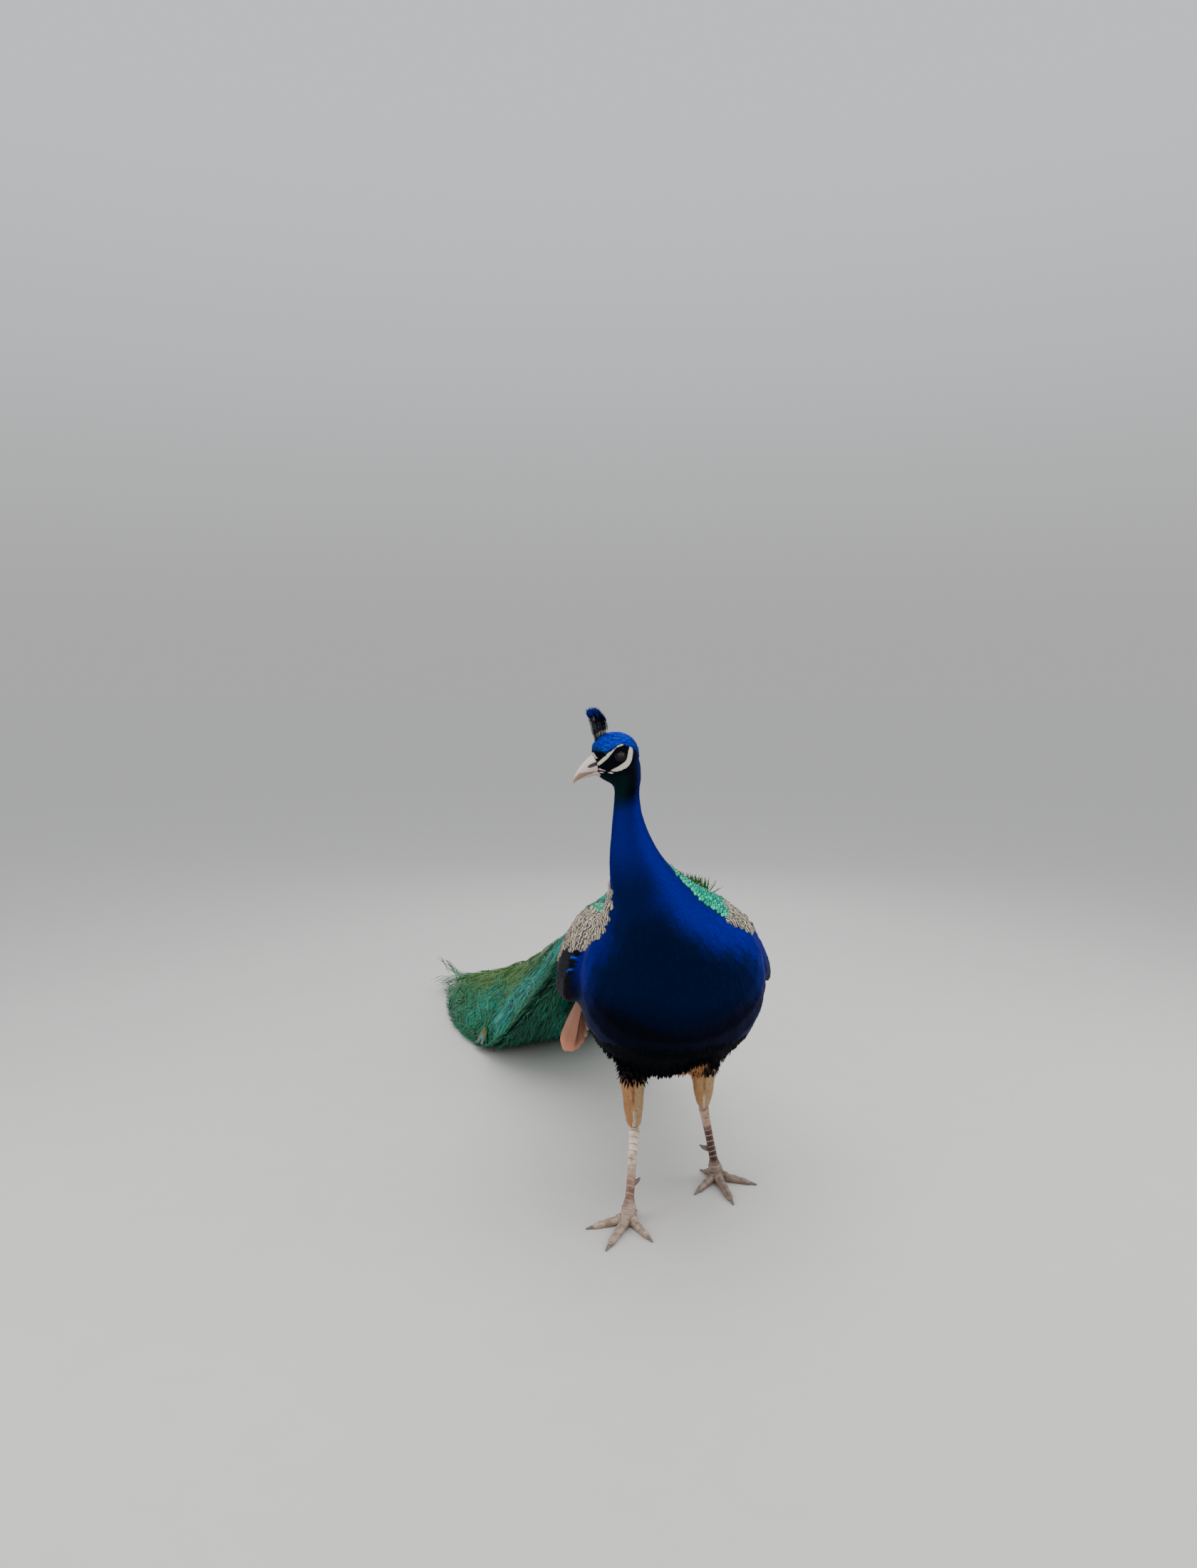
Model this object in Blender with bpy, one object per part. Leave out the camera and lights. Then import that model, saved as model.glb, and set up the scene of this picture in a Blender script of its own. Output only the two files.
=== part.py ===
"""Peacock, life-size still model: a walking male Indian peafowl with its head
turned to its right and its train trailing on the floor.

The bird faces -Y, its own left is +X, and the floor is z = 0. Lengths are in
metres. Every solid of the body is a loft or a tube from named stations.
"""
import bmesh
import bpy
from math import cos, sin, pi, radians, atan2
from mathutils import Vector, Matrix

# ---------------------------------------------------------------- sizes
GAP = 0.0005            # clearance left wherever two solids meet
BODY_SIDES = 24         # points round a body section
HEAD_SIDES = 18
LIMB_SIDES = 10
UP = Vector((0, 0, 1))

HEAD_CENTRE = Vector((-0.1396, -0.1429, 0.8277))    # on the line between the eyes
HEAD_TURN = 78.0        # degrees the bill is turned to the bird's right
EYE_RADIUS = 0.0068
EYE_SPREAD = 0.0160     # eyeball centre, from the middle of the head

TARSUS_RADIUS = 0.0076
SPUR_LENGTH = 0.017
CREST_SHAFTS = 9
TRAIN_TIPS = 9

# Trunk and neck: back line (y, z), belly line (y, z), sideways centre,
# half width. Ordered from the rump forward and up to the top of the neck.
BODY = [
    (0.360, 0.450, 0.360, 0.412, 0.000, 0.026),
    (0.300, 0.488, 0.300, 0.374, -0.002, 0.070),
    (0.215, 0.528, 0.222, 0.328, -0.006, 0.114),
    (0.125, 0.556, 0.128, 0.286, -0.012, 0.146),
    (0.040, 0.573, 0.025, 0.262, -0.018, 0.163),
    (-0.020, 0.580, -0.070, 0.264, -0.023, 0.169),
    (-0.055, 0.588, -0.150, 0.314, -0.030, 0.167),
    (-0.076, 0.602, -0.200, 0.394, -0.040, 0.149),
    (-0.091, 0.622, -0.222, 0.476, -0.058, 0.113),
    (-0.101, 0.650, -0.221, 0.550, -0.085, 0.073),
    (-0.108, 0.685, -0.205, 0.615, -0.106, 0.051),
    (-0.113, 0.720, -0.187, 0.668, -0.116, 0.0370),
    (-0.116, 0.756, -0.174, 0.718, -0.1210, 0.0272),
    (-0.117, 0.790, -0.167, 0.764, -0.1212, 0.0242),
    (-0.117, 0.824, -0.164, 0.806, -0.1212, 0.0232),
]
NECK_LOWER_FROM = 8     # station where the trunk hands over to the neck
NECK_UPPER_FROM = 11

# Head and bill, in the plane of the profile: forward h and height z of the
# top edge, the same of the bottom edge, half width.
HEAD = [
    (-0.0365, 0.0060, -0.0375, -0.0150, 0.0095),
    (-0.0335, 0.0185, -0.0340, -0.0270, 0.0165),
    (-0.0245, 0.0295, -0.0275, -0.0400, 0.0205),
    (-0.0110, 0.0355, -0.0170, -0.0490, 0.0222),
    (0.0030, 0.0372, -0.0040, -0.0530, 0.0222),
    (0.0170, 0.0356, 0.0070, -0.0515, 0.0208),
    (0.0295, 0.0300, 0.0165, -0.0465, 0.0184),
    (0.0390, 0.0195, 0.0240, -0.0410, 0.0152),
    (0.0430, 0.0080, 0.0300, -0.0365, 0.0122),
]
UPPER_BILL = [
    (0.0300, 0.0050, 0.0200, -0.0245, 0.0112),
    (0.0400, 0.0008, 0.0290, -0.0270, 0.0106),
    (0.0490, -0.0055, 0.0390, -0.0295, 0.0094),
    (0.0575, -0.0138, 0.0485, -0.0325, 0.0077),
    (0.0645, -0.0222, 0.0575, -0.0355, 0.0057),
    (0.0698, -0.0308, 0.0648, -0.0388, 0.0036),
    (0.0726, -0.0388, 0.0704, -0.0424, 0.0018),
    (0.0732, -0.0440, 0.0724, -0.0446, 0.0007),
]
LOWER_BILL = [
    (0.0190, -0.0254, 0.0160, -0.0345, 0.0102),
    (0.0284, -0.0280, 0.0255, -0.0357, 0.0095),
    (0.0384, -0.0306, 0.0365, -0.0375, 0.0082),
    (0.0479, -0.0336, 0.0465, -0.0391, 0.0064),
    (0.0569, -0.0366, 0.0562, -0.0406, 0.0043),
    (0.0638, -0.0396, 0.0634, -0.0418, 0.0020),
]

# Folded wing: y, distance out from the midline, height, half length of the
# section down the side, half thickness.
WING = [
    (-0.118, 0.122, 0.480, 0.022, 0.010),
    (-0.090, 0.136, 0.480, 0.056, 0.022),
    (-0.035, 0.145, 0.480, 0.088, 0.032),
    (0.045, 0.142, 0.476, 0.098, 0.036),
    (0.130, 0.132, 0.463, 0.092, 0.034),
    (0.215, 0.117, 0.445, 0.074, 0.028),
    (0.295, 0.099, 0.424, 0.048, 0.019),
    (0.365, 0.084, 0.406, 0.020, 0.009),
]

# Train: centre x, y, height of the crown line, of the underside, half width.
TRAIN = [
    (0.000, 0.185, 0.566, 0.540, 0.056),
    (0.000, 0.265, 0.549, 0.486, 0.100),
    (-0.004, 0.360, 0.508, 0.398, 0.136),
    (-0.018, 0.470, 0.450, 0.298, 0.158),
    (-0.044, 0.600, 0.380, 0.190, 0.176),
    (-0.080, 0.740, 0.308, 0.082, 0.188),
    (-0.118, 0.870, 0.242, 0.010, 0.184),
    (-0.158, 0.990, 0.188, 0.000, 0.184),
    (-0.198, 1.110, 0.142, 0.000, 0.170),
    (-0.233, 1.225, 0.103, 0.000, 0.142),
    (-0.265, 1.330, 0.070, 0.000, 0.110),
    (-0.292, 1.410, 0.042, 0.000, 0.080),
]
TRAIN_MIDDLE_FROM = 4
TRAIN_END_FROM = 8


# ---------------------------------------------------------------- helpers
def clear_scene():
    for ob in list(bpy.data.objects):
        bpy.data.objects.remove(ob, do_unlink=True)


def material(name, colour, roughness=0.6, metallic=0.0):
    mat = bpy.data.materials.new(name)
    mat.use_nodes = True
    shader = mat.node_tree.nodes["Principled BSDF"]
    shader.inputs["Base Color"].default_value = (*colour, 1.0)
    shader.inputs["Roughness"].default_value = roughness
    shader.inputs["Metallic"].default_value = metallic
    mat.diffuse_color = (*colour, 1.0)
    return mat


def between(rows, t):
    """Catmull-Rom value of a table of stations at station number t."""
    last = len(rows) - 1
    i = min(int(t), last - 1)
    f = t - i
    a, b, c, d = (rows[max(i - 1, 0)], rows[i], rows[i + 1], rows[min(i + 2, last)])
    return tuple(
        0.5 * (2 * q + (r - p) * f + (2 * p - 5 * q + 4 * r - s) * f * f
               + (3 * q - p - 3 * r + s) * f ** 3)
        for p, q, r, s in zip(a, b, c, d))


def stations(rows, first, last, per_span):
    steps = (last - first) * per_span
    return [between(rows, first + k / per_span) for k in range(steps + 1)]


def ring(top, bottom, side, half_width, sides, middle=0.5, power_up=2.0, power_down=2.0):
    """Closed section between a top and a bottom point. middle is the height,
    as a share of the section, at which it is widest."""
    axis = top - bottom
    centre = bottom + axis * middle
    points = []
    for k in range(sides):
        a = 2 * pi * (k + 0.5) / sides
        power = power_up if sin(a) > 0 else power_down
        across = abs(cos(a)) ** (2 / power) * (1 if cos(a) > 0 else -1)
        along = abs(sin(a)) ** (2 / power) * (1 if sin(a) > 0 else -1)
        reach = (1 - middle) if along > 0 else middle
        points.append(centre + side * (half_width * across) + axis * (reach * along))
    return points


def solid(name, rings, mat):
    """Skin a list of equal rings, each bridged to the next, and cap both ends."""
    bm = bmesh.new()
    loops = []
    for points in rings:
        verts = [bm.verts.new(p) for p in points]
        loops.append([bm.edges.new((verts[k - 1], verts[k])) for k in range(len(verts))])
    for lower, upper in zip(loops, loops[1:]):
        bmesh.ops.bridge_loops(bm, edges=lower + upper)
    for loop in (loops[0], loops[-1]):
        cap = bmesh.ops.edgenet_fill(bm, edges=loop)["faces"]
        bmesh.ops.poke(bm, faces=cap)
    bmesh.ops.recalc_face_normals(bm, faces=bm.faces)
    mesh = bpy.data.meshes.new(name)
    bm.to_mesh(mesh)
    bm.free()
    mesh.materials.append(mat)
    ob = bpy.data.objects.new(name, mesh)
    bpy.context.scene.collection.objects.link(ob)
    return ob


def tube(name, path, radii, mat, sides=LIMB_SIDES, flat=1.0, floor=None, reference=UP):
    """Round bar through path. flat squeezes it along the reference direction,
    floor stops it at a level so that it rests on a flat."""
    rings = []
    for i, (p, r) in enumerate(zip(path, radii)):
        ahead = path[min(i + 1, len(path) - 1)] - path[max(i - 1, 0)]
        side = ahead.cross(reference).normalized()
        over = side.cross(ahead).normalized()
        points = []
        for k in range(sides):
            a = 2 * pi * (k + 0.5) / sides
            q = p + side * (r * cos(a)) + over * (r * flat * sin(a))
            if floor is not None and q.z < floor:
                q.z = floor
            points.append(q)
        rings.append(points)
    return solid(name, rings, mat)


def apply_modifiers(ob):
    bpy.ops.object.select_all(action="DESELECT")
    bpy.context.view_layer.objects.active = ob
    ob.select_set(True)
    for mod in list(ob.modifiers):
        bpy.ops.object.modifier_apply(modifier=mod.name)


def boolean(ob, other, operation):
    mod = ob.modifiers.new("solid", "BOOLEAN")
    mod.operation = operation
    mod.solver = "EXACT"
    mod.object = other
    apply_modifiers(ob)


def grown(ob, gap):
    """Copy of a solid, swollen by gap along its normals."""
    mesh = ob.data.copy()
    copy = bpy.data.objects.new(ob.name + "_cutter", mesh)
    bpy.context.scene.collection.objects.link(copy)
    normals = [v.normal.copy() for v in mesh.vertices]
    for v, n in zip(mesh.vertices, normals):
        v.co += n * gap
    return copy


def clear_of(ob, *others, gap=GAP):
    """Take every other solid, with its clearance, out of ob."""
    for other in others:
        cutter = grown(other, gap)
        boolean(ob, cutter, "DIFFERENCE")
        bpy.data.objects.remove(cutter, do_unlink=True)
    keep_largest(ob)
    return ob


def keep_largest(ob):
    """Drop the slivers that a cut leaves behind."""
    bm = bmesh.new()
    bm.from_mesh(ob.data)
    bm.verts.ensure_lookup_table()
    unseen = set(bm.verts)
    groups = []
    while unseen:
        group, edge = set(), [unseen.pop()]
        while edge:
            vert = edge.pop()
            group.add(vert)
            for link in vert.link_edges:
                other = link.other_vert(vert)
                if other in unseen:
                    unseen.discard(other)
                    edge.append(other)
        groups.append(group)
    groups.sort(key=len)
    for group in groups[:-1]:
        bmesh.ops.delete(bm, geom=list(group), context="VERTS")
    bm.to_mesh(ob.data)
    bm.free()


def union(ob, *others):
    for other in others:
        boolean(ob, other, "UNION")
        bpy.data.objects.remove(other, do_unlink=True)
    return ob


def shade(ob):
    ob.data.shade_smooth()
    ob.data.set_sharp_from_angle(angle=radians(40))


# ---------------------------------------------------------------- materials
def make_materials():
    return {
        "blue": material("blue_plumage", (0.01, 0.03, 0.35), 0.45),
        "black": material("black_plumage", (0.01, 0.012, 0.02), 0.6),
        "barred": material("barred_plumage", (0.45, 0.38, 0.28), 0.7),
        "chestnut": material("chestnut_plumage", (0.55, 0.22, 0.10), 0.65),
        "buff": material("buff_plumage", (0.50, 0.34, 0.20), 0.75),
        "green": material("green_plumage", (0.03, 0.25, 0.12), 0.5),
        "brown": material("brown_plumage", (0.12, 0.08, 0.05), 0.7),
        "horn": material("bill_horn", (0.60, 0.50, 0.45), 0.4),
        "claw": material("claw_horn", (0.10, 0.08, 0.07), 0.4),
        "scale": material("leg_scales", (0.28, 0.23, 0.19), 0.55),
        "eye": material("eye_gloss", (0.03, 0.015, 0.01), 0.1),
    }


# ---------------------------------------------------------------- body
def body_rings():
    rings = []
    for ty, tz, by, bz, x, w in stations(BODY, 0, len(BODY) - 1, 2):
        top, bottom = Vector((x, ty, tz)), Vector((x, by, bz))
        low = min(max((0.62 - bz) / 0.3, 0.0), 1.0)      # 1 in the trunk, 0 in the neck
        rings.append(ring(top, bottom, Vector((1, 0, 0)), w, BODY_SIDES,
                          0.5 - 0.02 * low, 2.0 + 0.15 * low, 2.0 + 0.15 * low))
    return rings


def build_body(m):
    rings = body_rings()

    def part(name, first, last, mat):
        mine = [list(r) for r in rings[first * 2:last * 2 + 1]]
        for end, neighbour in ((0, 1), (-1, -2)):
            at_end = (first == 0 and end == 0) or (last == len(BODY) - 1 and end == -1)
            if at_end:
                continue
            here = sum(mine[end], Vector()) / BODY_SIDES
            there = sum(mine[neighbour], Vector()) / BODY_SIDES
            step = (there - here).normalized() * GAP
            mine[end] = [p + step for p in mine[end]]
        return solid(name, mine, mat)

    trunk = part("trunk", 0, NECK_LOWER_FROM, m["blue"])
    neck_lower = part("neck_lower", NECK_LOWER_FROM, NECK_UPPER_FROM, m["blue"])
    neck_upper = part("neck_upper", NECK_UPPER_FROM, len(BODY) - 1, m["blue"])
    return trunk, neck_lower, neck_upper


# ---------------------------------------------------------------- head
def head_frame():
    a = radians(-90 - HEAD_TURN)
    ahead = Vector((cos(a), sin(a), 0))
    left = Vector((-ahead.y, ahead.x, 0))
    return ahead, left


def head_point(h, lateral, z):
    ahead, left = head_frame()
    return HEAD_CENTRE + ahead * h + left * lateral + UP * z


def profile_loft(name, rows, mat, sides, middle, power, per_span=1):
    ahead, left = head_frame()
    rings = []
    for th, tz, bh, bz, w in stations(rows, 0, len(rows) - 1, per_span):
        rings.append(ring(head_point(th, 0, tz), head_point(bh, 0, bz), left, w,
                          sides, middle, power, power))
    return solid(name, rings, mat)


def build_head(m, neck_upper):
    head = profile_loft("head", HEAD, m["blue"], HEAD_SIDES, 0.52, 2.15)
    clear_of(neck_upper, head)
    eyes = []
    for side, label in ((1, "left"), (-1, "right")):
        bpy.ops.mesh.primitive_uv_sphere_add(segments=14, ring_count=8, radius=EYE_RADIUS,
                                             location=head_point(0.0, side * EYE_SPREAD, 0.0))
        eye = bpy.context.active_object
        eye.name = "eye_" + label
        bpy.ops.object.transform_apply(location=True, rotation=False, scale=False)
        eye.data.materials.append(m["eye"])
        eyes.append(eye)
    clear_of(head, *eyes)
    upper = profile_loft("upper_bill", UPPER_BILL, m["horn"], 14, 0.40, 2.0)
    lower = profile_loft("lower_bill", LOWER_BILL, m["horn"], 14, 0.60, 2.1)
    clear_of(upper, head)
    clear_of(lower, head, upper)
    return [head, upper, lower] + eyes


def build_crest(m, head):
    """A fan of stiff shafts on the crown, each ending in a small vane."""
    base = tube("crest", [head_point(0.008, 0, 0.0330), head_point(0.020, 0, 0.0345),
                          head_point(0.032, 0, 0.0290)],
                [0.0030, 0.0046, 0.0030], m["black"], sides=8)
    pieces = []
    for k in range(CREST_SHAFTS):
        f = k / (CREST_SHAFTS - 1)
        lateral = 0.0045 * cos(k * 2.4)
        foot = head_point(0.010 + 0.020 * f, 0, 0.0345 - 0.004 * f)
        tip = head_point(0.0175 + 0.0300 * f, lateral, 0.0600 + 0.0190 * sin(pi * (0.12 + 0.62 * f)))
        knee = foot.lerp(tip, 0.70)
        shaft = [foot, knee, foot.lerp(tip, 0.86), tip]
        ahead, left = head_frame()
        vane = tube("shaft", shaft, [0.0011, 0.0013, 0.0046, 0.0016], m["blue"],
                    sides=5, flat=0.6, reference=left)
        pieces.append(vane)
    union(base, *pieces)
    clear_of(base, head)
    return base


# ---------------------------------------------------------------- wings
def build_wing(m, side, out, drop, lean, label, trunk):
    rings = []
    for y, x, z, half, thick in stations(WING, 0, len(WING) - 1, 1):
        tilt = radians(lean)
        axis = Vector((-side * sin(tilt), 0, cos(tilt)))
        across = Vector((side * cos(tilt), 0, sin(tilt)))
        centre = Vector((side * (x + out), y, z - drop))
        rings.append(ring(centre + axis * half, centre - axis * half, across, thick, 16))
    wing = solid("wing_" + label, rings, m["barred"])
    clear_of(wing, trunk)
    return wing


def build_primaries(m, side, out, drop, label, *neighbours):
    """Long flight feathers of the folded wing, hanging a little open below it:
    a sheaf of overlapping blades turned partly to the front."""
    blades = []
    count = 4
    for k in range(count):
        f = k / (count - 1)
        root = Vector((side * (0.150 + out), -0.015 + 0.040 * f, 0.405 - drop))
        tip = Vector((side * (0.150 + out - 0.016 * f), 0.125 + 0.070 * f,
                      0.272 - drop + 0.030 * f))
        shares = (0, 0.34, 0.68, 0.90, 1.0)
        path = [root.lerp(tip, s) for s in shares]
        for p, s in zip(path, shares):
            p.y += 0.016 * sin(pi * s)
            p.z -= 0.010 * sin(pi * s)
        normal = Vector((side * (0.56 + 0.10 * f), -0.66, 0.42)).normalized()
        blades.append(tube("primaries_" + label, path, [0.014, 0.022, 0.027, 0.021, 0.007],
                           m["chestnut"], sides=8, flat=0.14, reference=normal))
    first = union(blades[0], *blades[1:])
    clear_of(first, *neighbours)
    return first


# ---------------------------------------------------------------- legs
RIGHT_LEG = {
    "thigh": [(-0.096, -0.090, 0.350, 0.044), (-0.094, -0.068, 0.290, 0.029),
              (-0.092, -0.056, 0.245, 0.0215), (-0.088, -0.042, 0.200, 0.0165),
              (-0.085, -0.034, 0.164, 0.0120)],
    "hock": (-0.084, -0.032, 0.150),
    "ankle": (-0.101, -0.066, 0.018),
    "toes": {"middle": -33.0, "inner": 20.0, "outer": -82.0, "hind": 150.0},
}
LEFT_LEG = {
    "thigh": [(0.030, -0.085, 0.350, 0.044), (0.036, -0.056, 0.290, 0.030),
              (0.043, -0.026, 0.245, 0.0225), (0.053, 0.008, 0.200, 0.0170),
              (0.060, 0.032, 0.166, 0.0120)],
    "hock": (0.063, 0.040, 0.152),
    "ankle": (0.095, 0.064, 0.018),
    "toes": {"middle": 2.0, "inner": -46.0, "outer": 62.0, "hind": 205.0},
}
TOES = {            # length of the toe, radius at its root, length of its claw
    "middle": (0.078, 0.0074, 0.017),
    "inner": (0.055, 0.0066, 0.014),
    "outer": (0.056, 0.0064, 0.014),
    "hind": (0.024, 0.0052, 0.013),
}


def build_leg(m, leg, side, label, trunk):
    spots = [Vector(s[:3]) for s in leg["thigh"]]
    thigh = tube("thigh_" + label, spots, [s[3] for s in leg["thigh"]], m["buff"], sides=14,
                 reference=Vector((1, 0, 0)))
    clear_of(thigh, trunk)

    hock, ankle = Vector(leg["hock"]), Vector(leg["ankle"])
    down = (ankle - hock).normalized()
    above = (spots[-1] - spots[-2]).normalized()
    path = [hock - above * 0.012, hock, hock + down * 0.016, hock.lerp(ankle, 0.45),
            hock.lerp(ankle, 0.80), ankle + down * 0.004]
    radii = [0.0082, 0.0094, 0.0082, TARSUS_RADIUS * 0.92, TARSUS_RADIUS, TARSUS_RADIUS * 1.25]
    tarsus = tube("tarsus_" + label, path, radii, m["scale"], sides=12,
                  reference=Vector((1, 0, 0)))
    clear_of(tarsus, thigh)

    # spur on the inner side, a third of the way up
    start = hock.lerp(ankle, 0.66)
    out = Vector((-side * 0.80, 0.55, 0.05)).normalized()
    spur = tube("spur_" + label, [start, start + out * (TARSUS_RADIUS + 0.003),
                                  start + out * (TARSUS_RADIUS + SPUR_LENGTH * 0.6),
                                  start + out * (TARSUS_RADIUS + SPUR_LENGTH) + UP * 0.003],
                [0.0052, 0.0050, 0.0033, 0.0008], m["claw"], sides=8)
    clear_of(spur, tarsus)

    # foot: a pad under the tarsus with four toes, all flat on the floor
    centre = Vector((ankle.x, ankle.y, 0))
    foot = tube("foot_" + label,
                [centre + UP * 0.0185, centre + UP * 0.011, centre],
                [0.0085, 0.0118, 0.0128], m["scale"], sides=12,
                reference=Vector((1, 0, 0)))
    claws, toes = [], []
    for toe, heading in leg["toes"].items():
        length, radius, claw_length = TOES[toe]
        a = radians(heading - 90)
        ahead = Vector((cos(a), sin(a), 0))
        lift = 0.010 if toe == "hind" else 0.0
        reach = [0.0, 0.22, 0.34, 0.55, 0.66, 0.86, 1.0]
        swell = [1.0, 0.98, 0.86, 0.94, 0.78, 0.82, 0.52]
        path, radii = [], []
        for s, w in zip(reach, swell):
            r = radius * (1.0 - 0.26 * s) * w
            height = r * 0.80 + lift * (1 - s) + 0.004 * (1 - s) * (toe != "hind")
            path.append(centre + ahead * (0.004 + (length + 0.004) * s) + UP * height)
            radii.append(r)
        toes.append(tube("toe", path, radii, m["scale"], sides=8, floor=0.0))
        end = path[-1]
        r = radii[-1]
        claw_path = [end - ahead * 0.004, end + ahead * (0.30 * claw_length) + UP * 0.0008,
                     end + ahead * (0.70 * claw_length) - UP * 0.0002,
                     end + ahead * claw_length - UP * (end.z - 0.0012)]
        claws.append(tube("claw_%s_%s" % (label, toe), claw_path,
                          [r * 0.80, r * 0.78, r * 0.50, 0.0007], m["claw"], sides=6, floor=0.0))
    union(foot, *toes)
    clear_of(foot, tarsus)
    for claw in claws:
        clear_of(claw, foot)
    return [thigh, tarsus, spur, foot] + claws


# ---------------------------------------------------------------- tail and train
def train_ring(row, ahead, sides=22):
    """Domed section with a flat underside that comes to rest on the floor."""
    x, y, crown, under, half = row
    side = Vector((ahead.y, -ahead.x, 0)).normalized()
    under = max(under, 0.0)
    upper, lower = [], []
    count = sides // 2
    for k in range(count):
        s = -1 + 2 * (k + 0.5) / count
        top = under + 0.012 + (crown - under - 0.012) * (1 - abs(s) ** 2.6)
        place = Vector((x, y, 0)) + side * (s * half)
        upper.append(place + UP * top)
        lower.append(place + UP * under)
    return upper + lower[::-1]


def build_train(m, trunk, wings, primaries):
    rows = stations(TRAIN, 0, len(TRAIN) - 1, 2)
    rings = []
    for i, row in enumerate(rows):
        a, b = rows[max(i - 1, 0)], rows[min(i + 1, len(rows) - 1)]
        rings.append(train_ring(row, Vector((b[0] - a[0], b[1] - a[1], 0)).normalized()))

    def part(name, first, last):
        mine = [list(r) for r in rings[first * 2:last * 2 + 1]]
        for end, neighbour in ((0, 1), (-1, -2)):
            if (first == 0 and end == 0) or (last == len(TRAIN) - 1 and end == -1):
                continue
            step = (sum(mine[neighbour], Vector()) - sum(mine[end], Vector()))
            step.z = 0
            step = step.normalized() * GAP
            mine[end] = [p + step for p in mine[end]]
        return solid(name, mine, m["green"])

    root = part("train_root", 0, TRAIN_MIDDLE_FROM)
    middle = part("train_middle", TRAIN_MIDDLE_FROM, TRAIN_END_FROM)
    end = part("train_end", TRAIN_END_FROM, len(TRAIN) - 1)
    clear_of(root, trunk, *wings, *primaries)

    # the long feathers part into separate tips on the floor
    x, y, crown, under, half = rows[-1]
    before = rows[-3]
    heading = atan2(y - before[1], x - before[0])
    blades = []
    for k in range(TRAIN_TIPS):
        f = -1 + 2 * k / (TRAIN_TIPS - 1)
        a = heading - radians(46) * f
        ahead = Vector((cos(a), sin(a), 0))
        side = Vector((sin(heading), -cos(heading), 0))
        length = 0.110 - 0.050 * abs(f) + 0.018 * cos(k * 2.3)
        start = Vector((x, y, 0.0)) + side * (f * half * 0.80) - ahead * 0.045
        low = 0.0042 if k % 2 else 0.0060
        path = [start + ahead * (s * (length + 0.045)) + UP * low for s in (0, 0.4, 0.78, 1.0)]
        if k % 2 == 0:
            path[0].z, path[1].z = 0.012, 0.008
        blades.append(tube("tip", path, [0.014, 0.013, 0.010, 0.003], m["green"], sides=6,
                           flat=0.34, floor=0.0))
    union(end, *blades)
    return [root, middle, end]


def build_tail(m, trunk, train):
    """Stiff tail feathers that carry the train from underneath."""
    line = [(0.000, 0.325, 0.418), (-0.003, 0.410, 0.334), (-0.010, 0.500, 0.252),
            (-0.018, 0.590, 0.178), (-0.026, 0.655, 0.128)]
    blades = []
    count = 5
    for k in range(count):
        f = -1 + 2 * k / (count - 1)
        path = []
        for i, (x, y, z) in enumerate(line):
            s = i / (len(line) - 1)
            path.append(Vector((x + (0.018 + 0.092 * s) * f, y - 0.030 * s * f * f,
                                z - 0.012 * abs(f))))
        blades.append(tube("tail", path, [0.014, 0.023, 0.031, 0.030, 0.010], m["brown"],
                           sides=6, flat=0.13))
    tail = union(blades[0], *blades[1:])
    clear_of(tail, trunk, *train)
    return tail


# ---------------------------------------------------------------- assembly
def build():
    clear_scene()
    m = make_materials()
    trunk, neck_lower, neck_upper = build_body(m)
    head_parts = build_head(m, neck_upper)
    crest = build_crest(m, head_parts[0])
    wings, primaries = [], []
    for side, out, drop, lean, label in ((1, -0.026, 0.0, 31.0, "left"),
                                         (-1, 0.026, 0.014, 24.0, "right")):
        wing = build_wing(m, side, out, drop, lean, label, trunk)
        wings.append(wing)
        primaries.append(build_primaries(m, side, out, drop, label, trunk, wing))
    legs = build_leg(m, RIGHT_LEG, -1, "right", trunk) + build_leg(m, LEFT_LEG, 1, "left", trunk)
    for ob in legs:
        if ob.name.startswith("thigh"):
            clear_of(ob, *wings, *primaries)
    train = build_train(m, trunk, wings, primaries)
    tail = build_tail(m, trunk, train)

    everything = ([trunk, neck_lower, neck_upper, crest, tail] + head_parts + wings
                  + primaries + legs + train)
    # origin at the middle of the whole object's footprint
    corners = [ob.matrix_world @ v.co for ob in everything for v in ob.data.vertices]
    low = Vector([min(c[i] for c in corners) for i in range(3)])
    high = Vector([max(c[i] for c in corners) for i in range(3)])
    move = Matrix.Translation((-(low.x + high.x) / 2, -(low.y + high.y) / 2, -low.z))
    for ob in everything:
        ob.data.transform(move)
        shade(ob)
    return everything


build()
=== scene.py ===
# Peacock, still figure: one skin under a coat of modelled feathers.
# The bird faces -Y, its own left is +X, the floor is z = 0.
import math

import bpy
import numpy as np
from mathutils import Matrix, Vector
from mathutils.bvhtree import BVHTree
from mathutils.kdtree import KDTree


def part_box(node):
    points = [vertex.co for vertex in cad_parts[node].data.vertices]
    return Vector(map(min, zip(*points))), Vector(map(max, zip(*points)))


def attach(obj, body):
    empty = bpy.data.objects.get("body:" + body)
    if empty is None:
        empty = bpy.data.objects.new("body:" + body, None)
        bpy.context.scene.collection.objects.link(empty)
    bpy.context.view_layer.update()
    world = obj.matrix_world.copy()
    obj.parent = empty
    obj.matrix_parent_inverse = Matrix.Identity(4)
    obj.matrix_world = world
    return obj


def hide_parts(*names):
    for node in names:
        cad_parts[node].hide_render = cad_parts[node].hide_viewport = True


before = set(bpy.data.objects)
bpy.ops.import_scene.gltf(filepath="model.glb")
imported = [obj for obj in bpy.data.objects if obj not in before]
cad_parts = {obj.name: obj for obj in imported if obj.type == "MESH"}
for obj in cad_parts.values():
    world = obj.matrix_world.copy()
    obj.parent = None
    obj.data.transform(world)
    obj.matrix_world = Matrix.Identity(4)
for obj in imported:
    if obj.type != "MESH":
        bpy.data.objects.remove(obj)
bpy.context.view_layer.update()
bpy.ops.object.select_all(action="DESELECT")
print("frame loaded")

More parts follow.
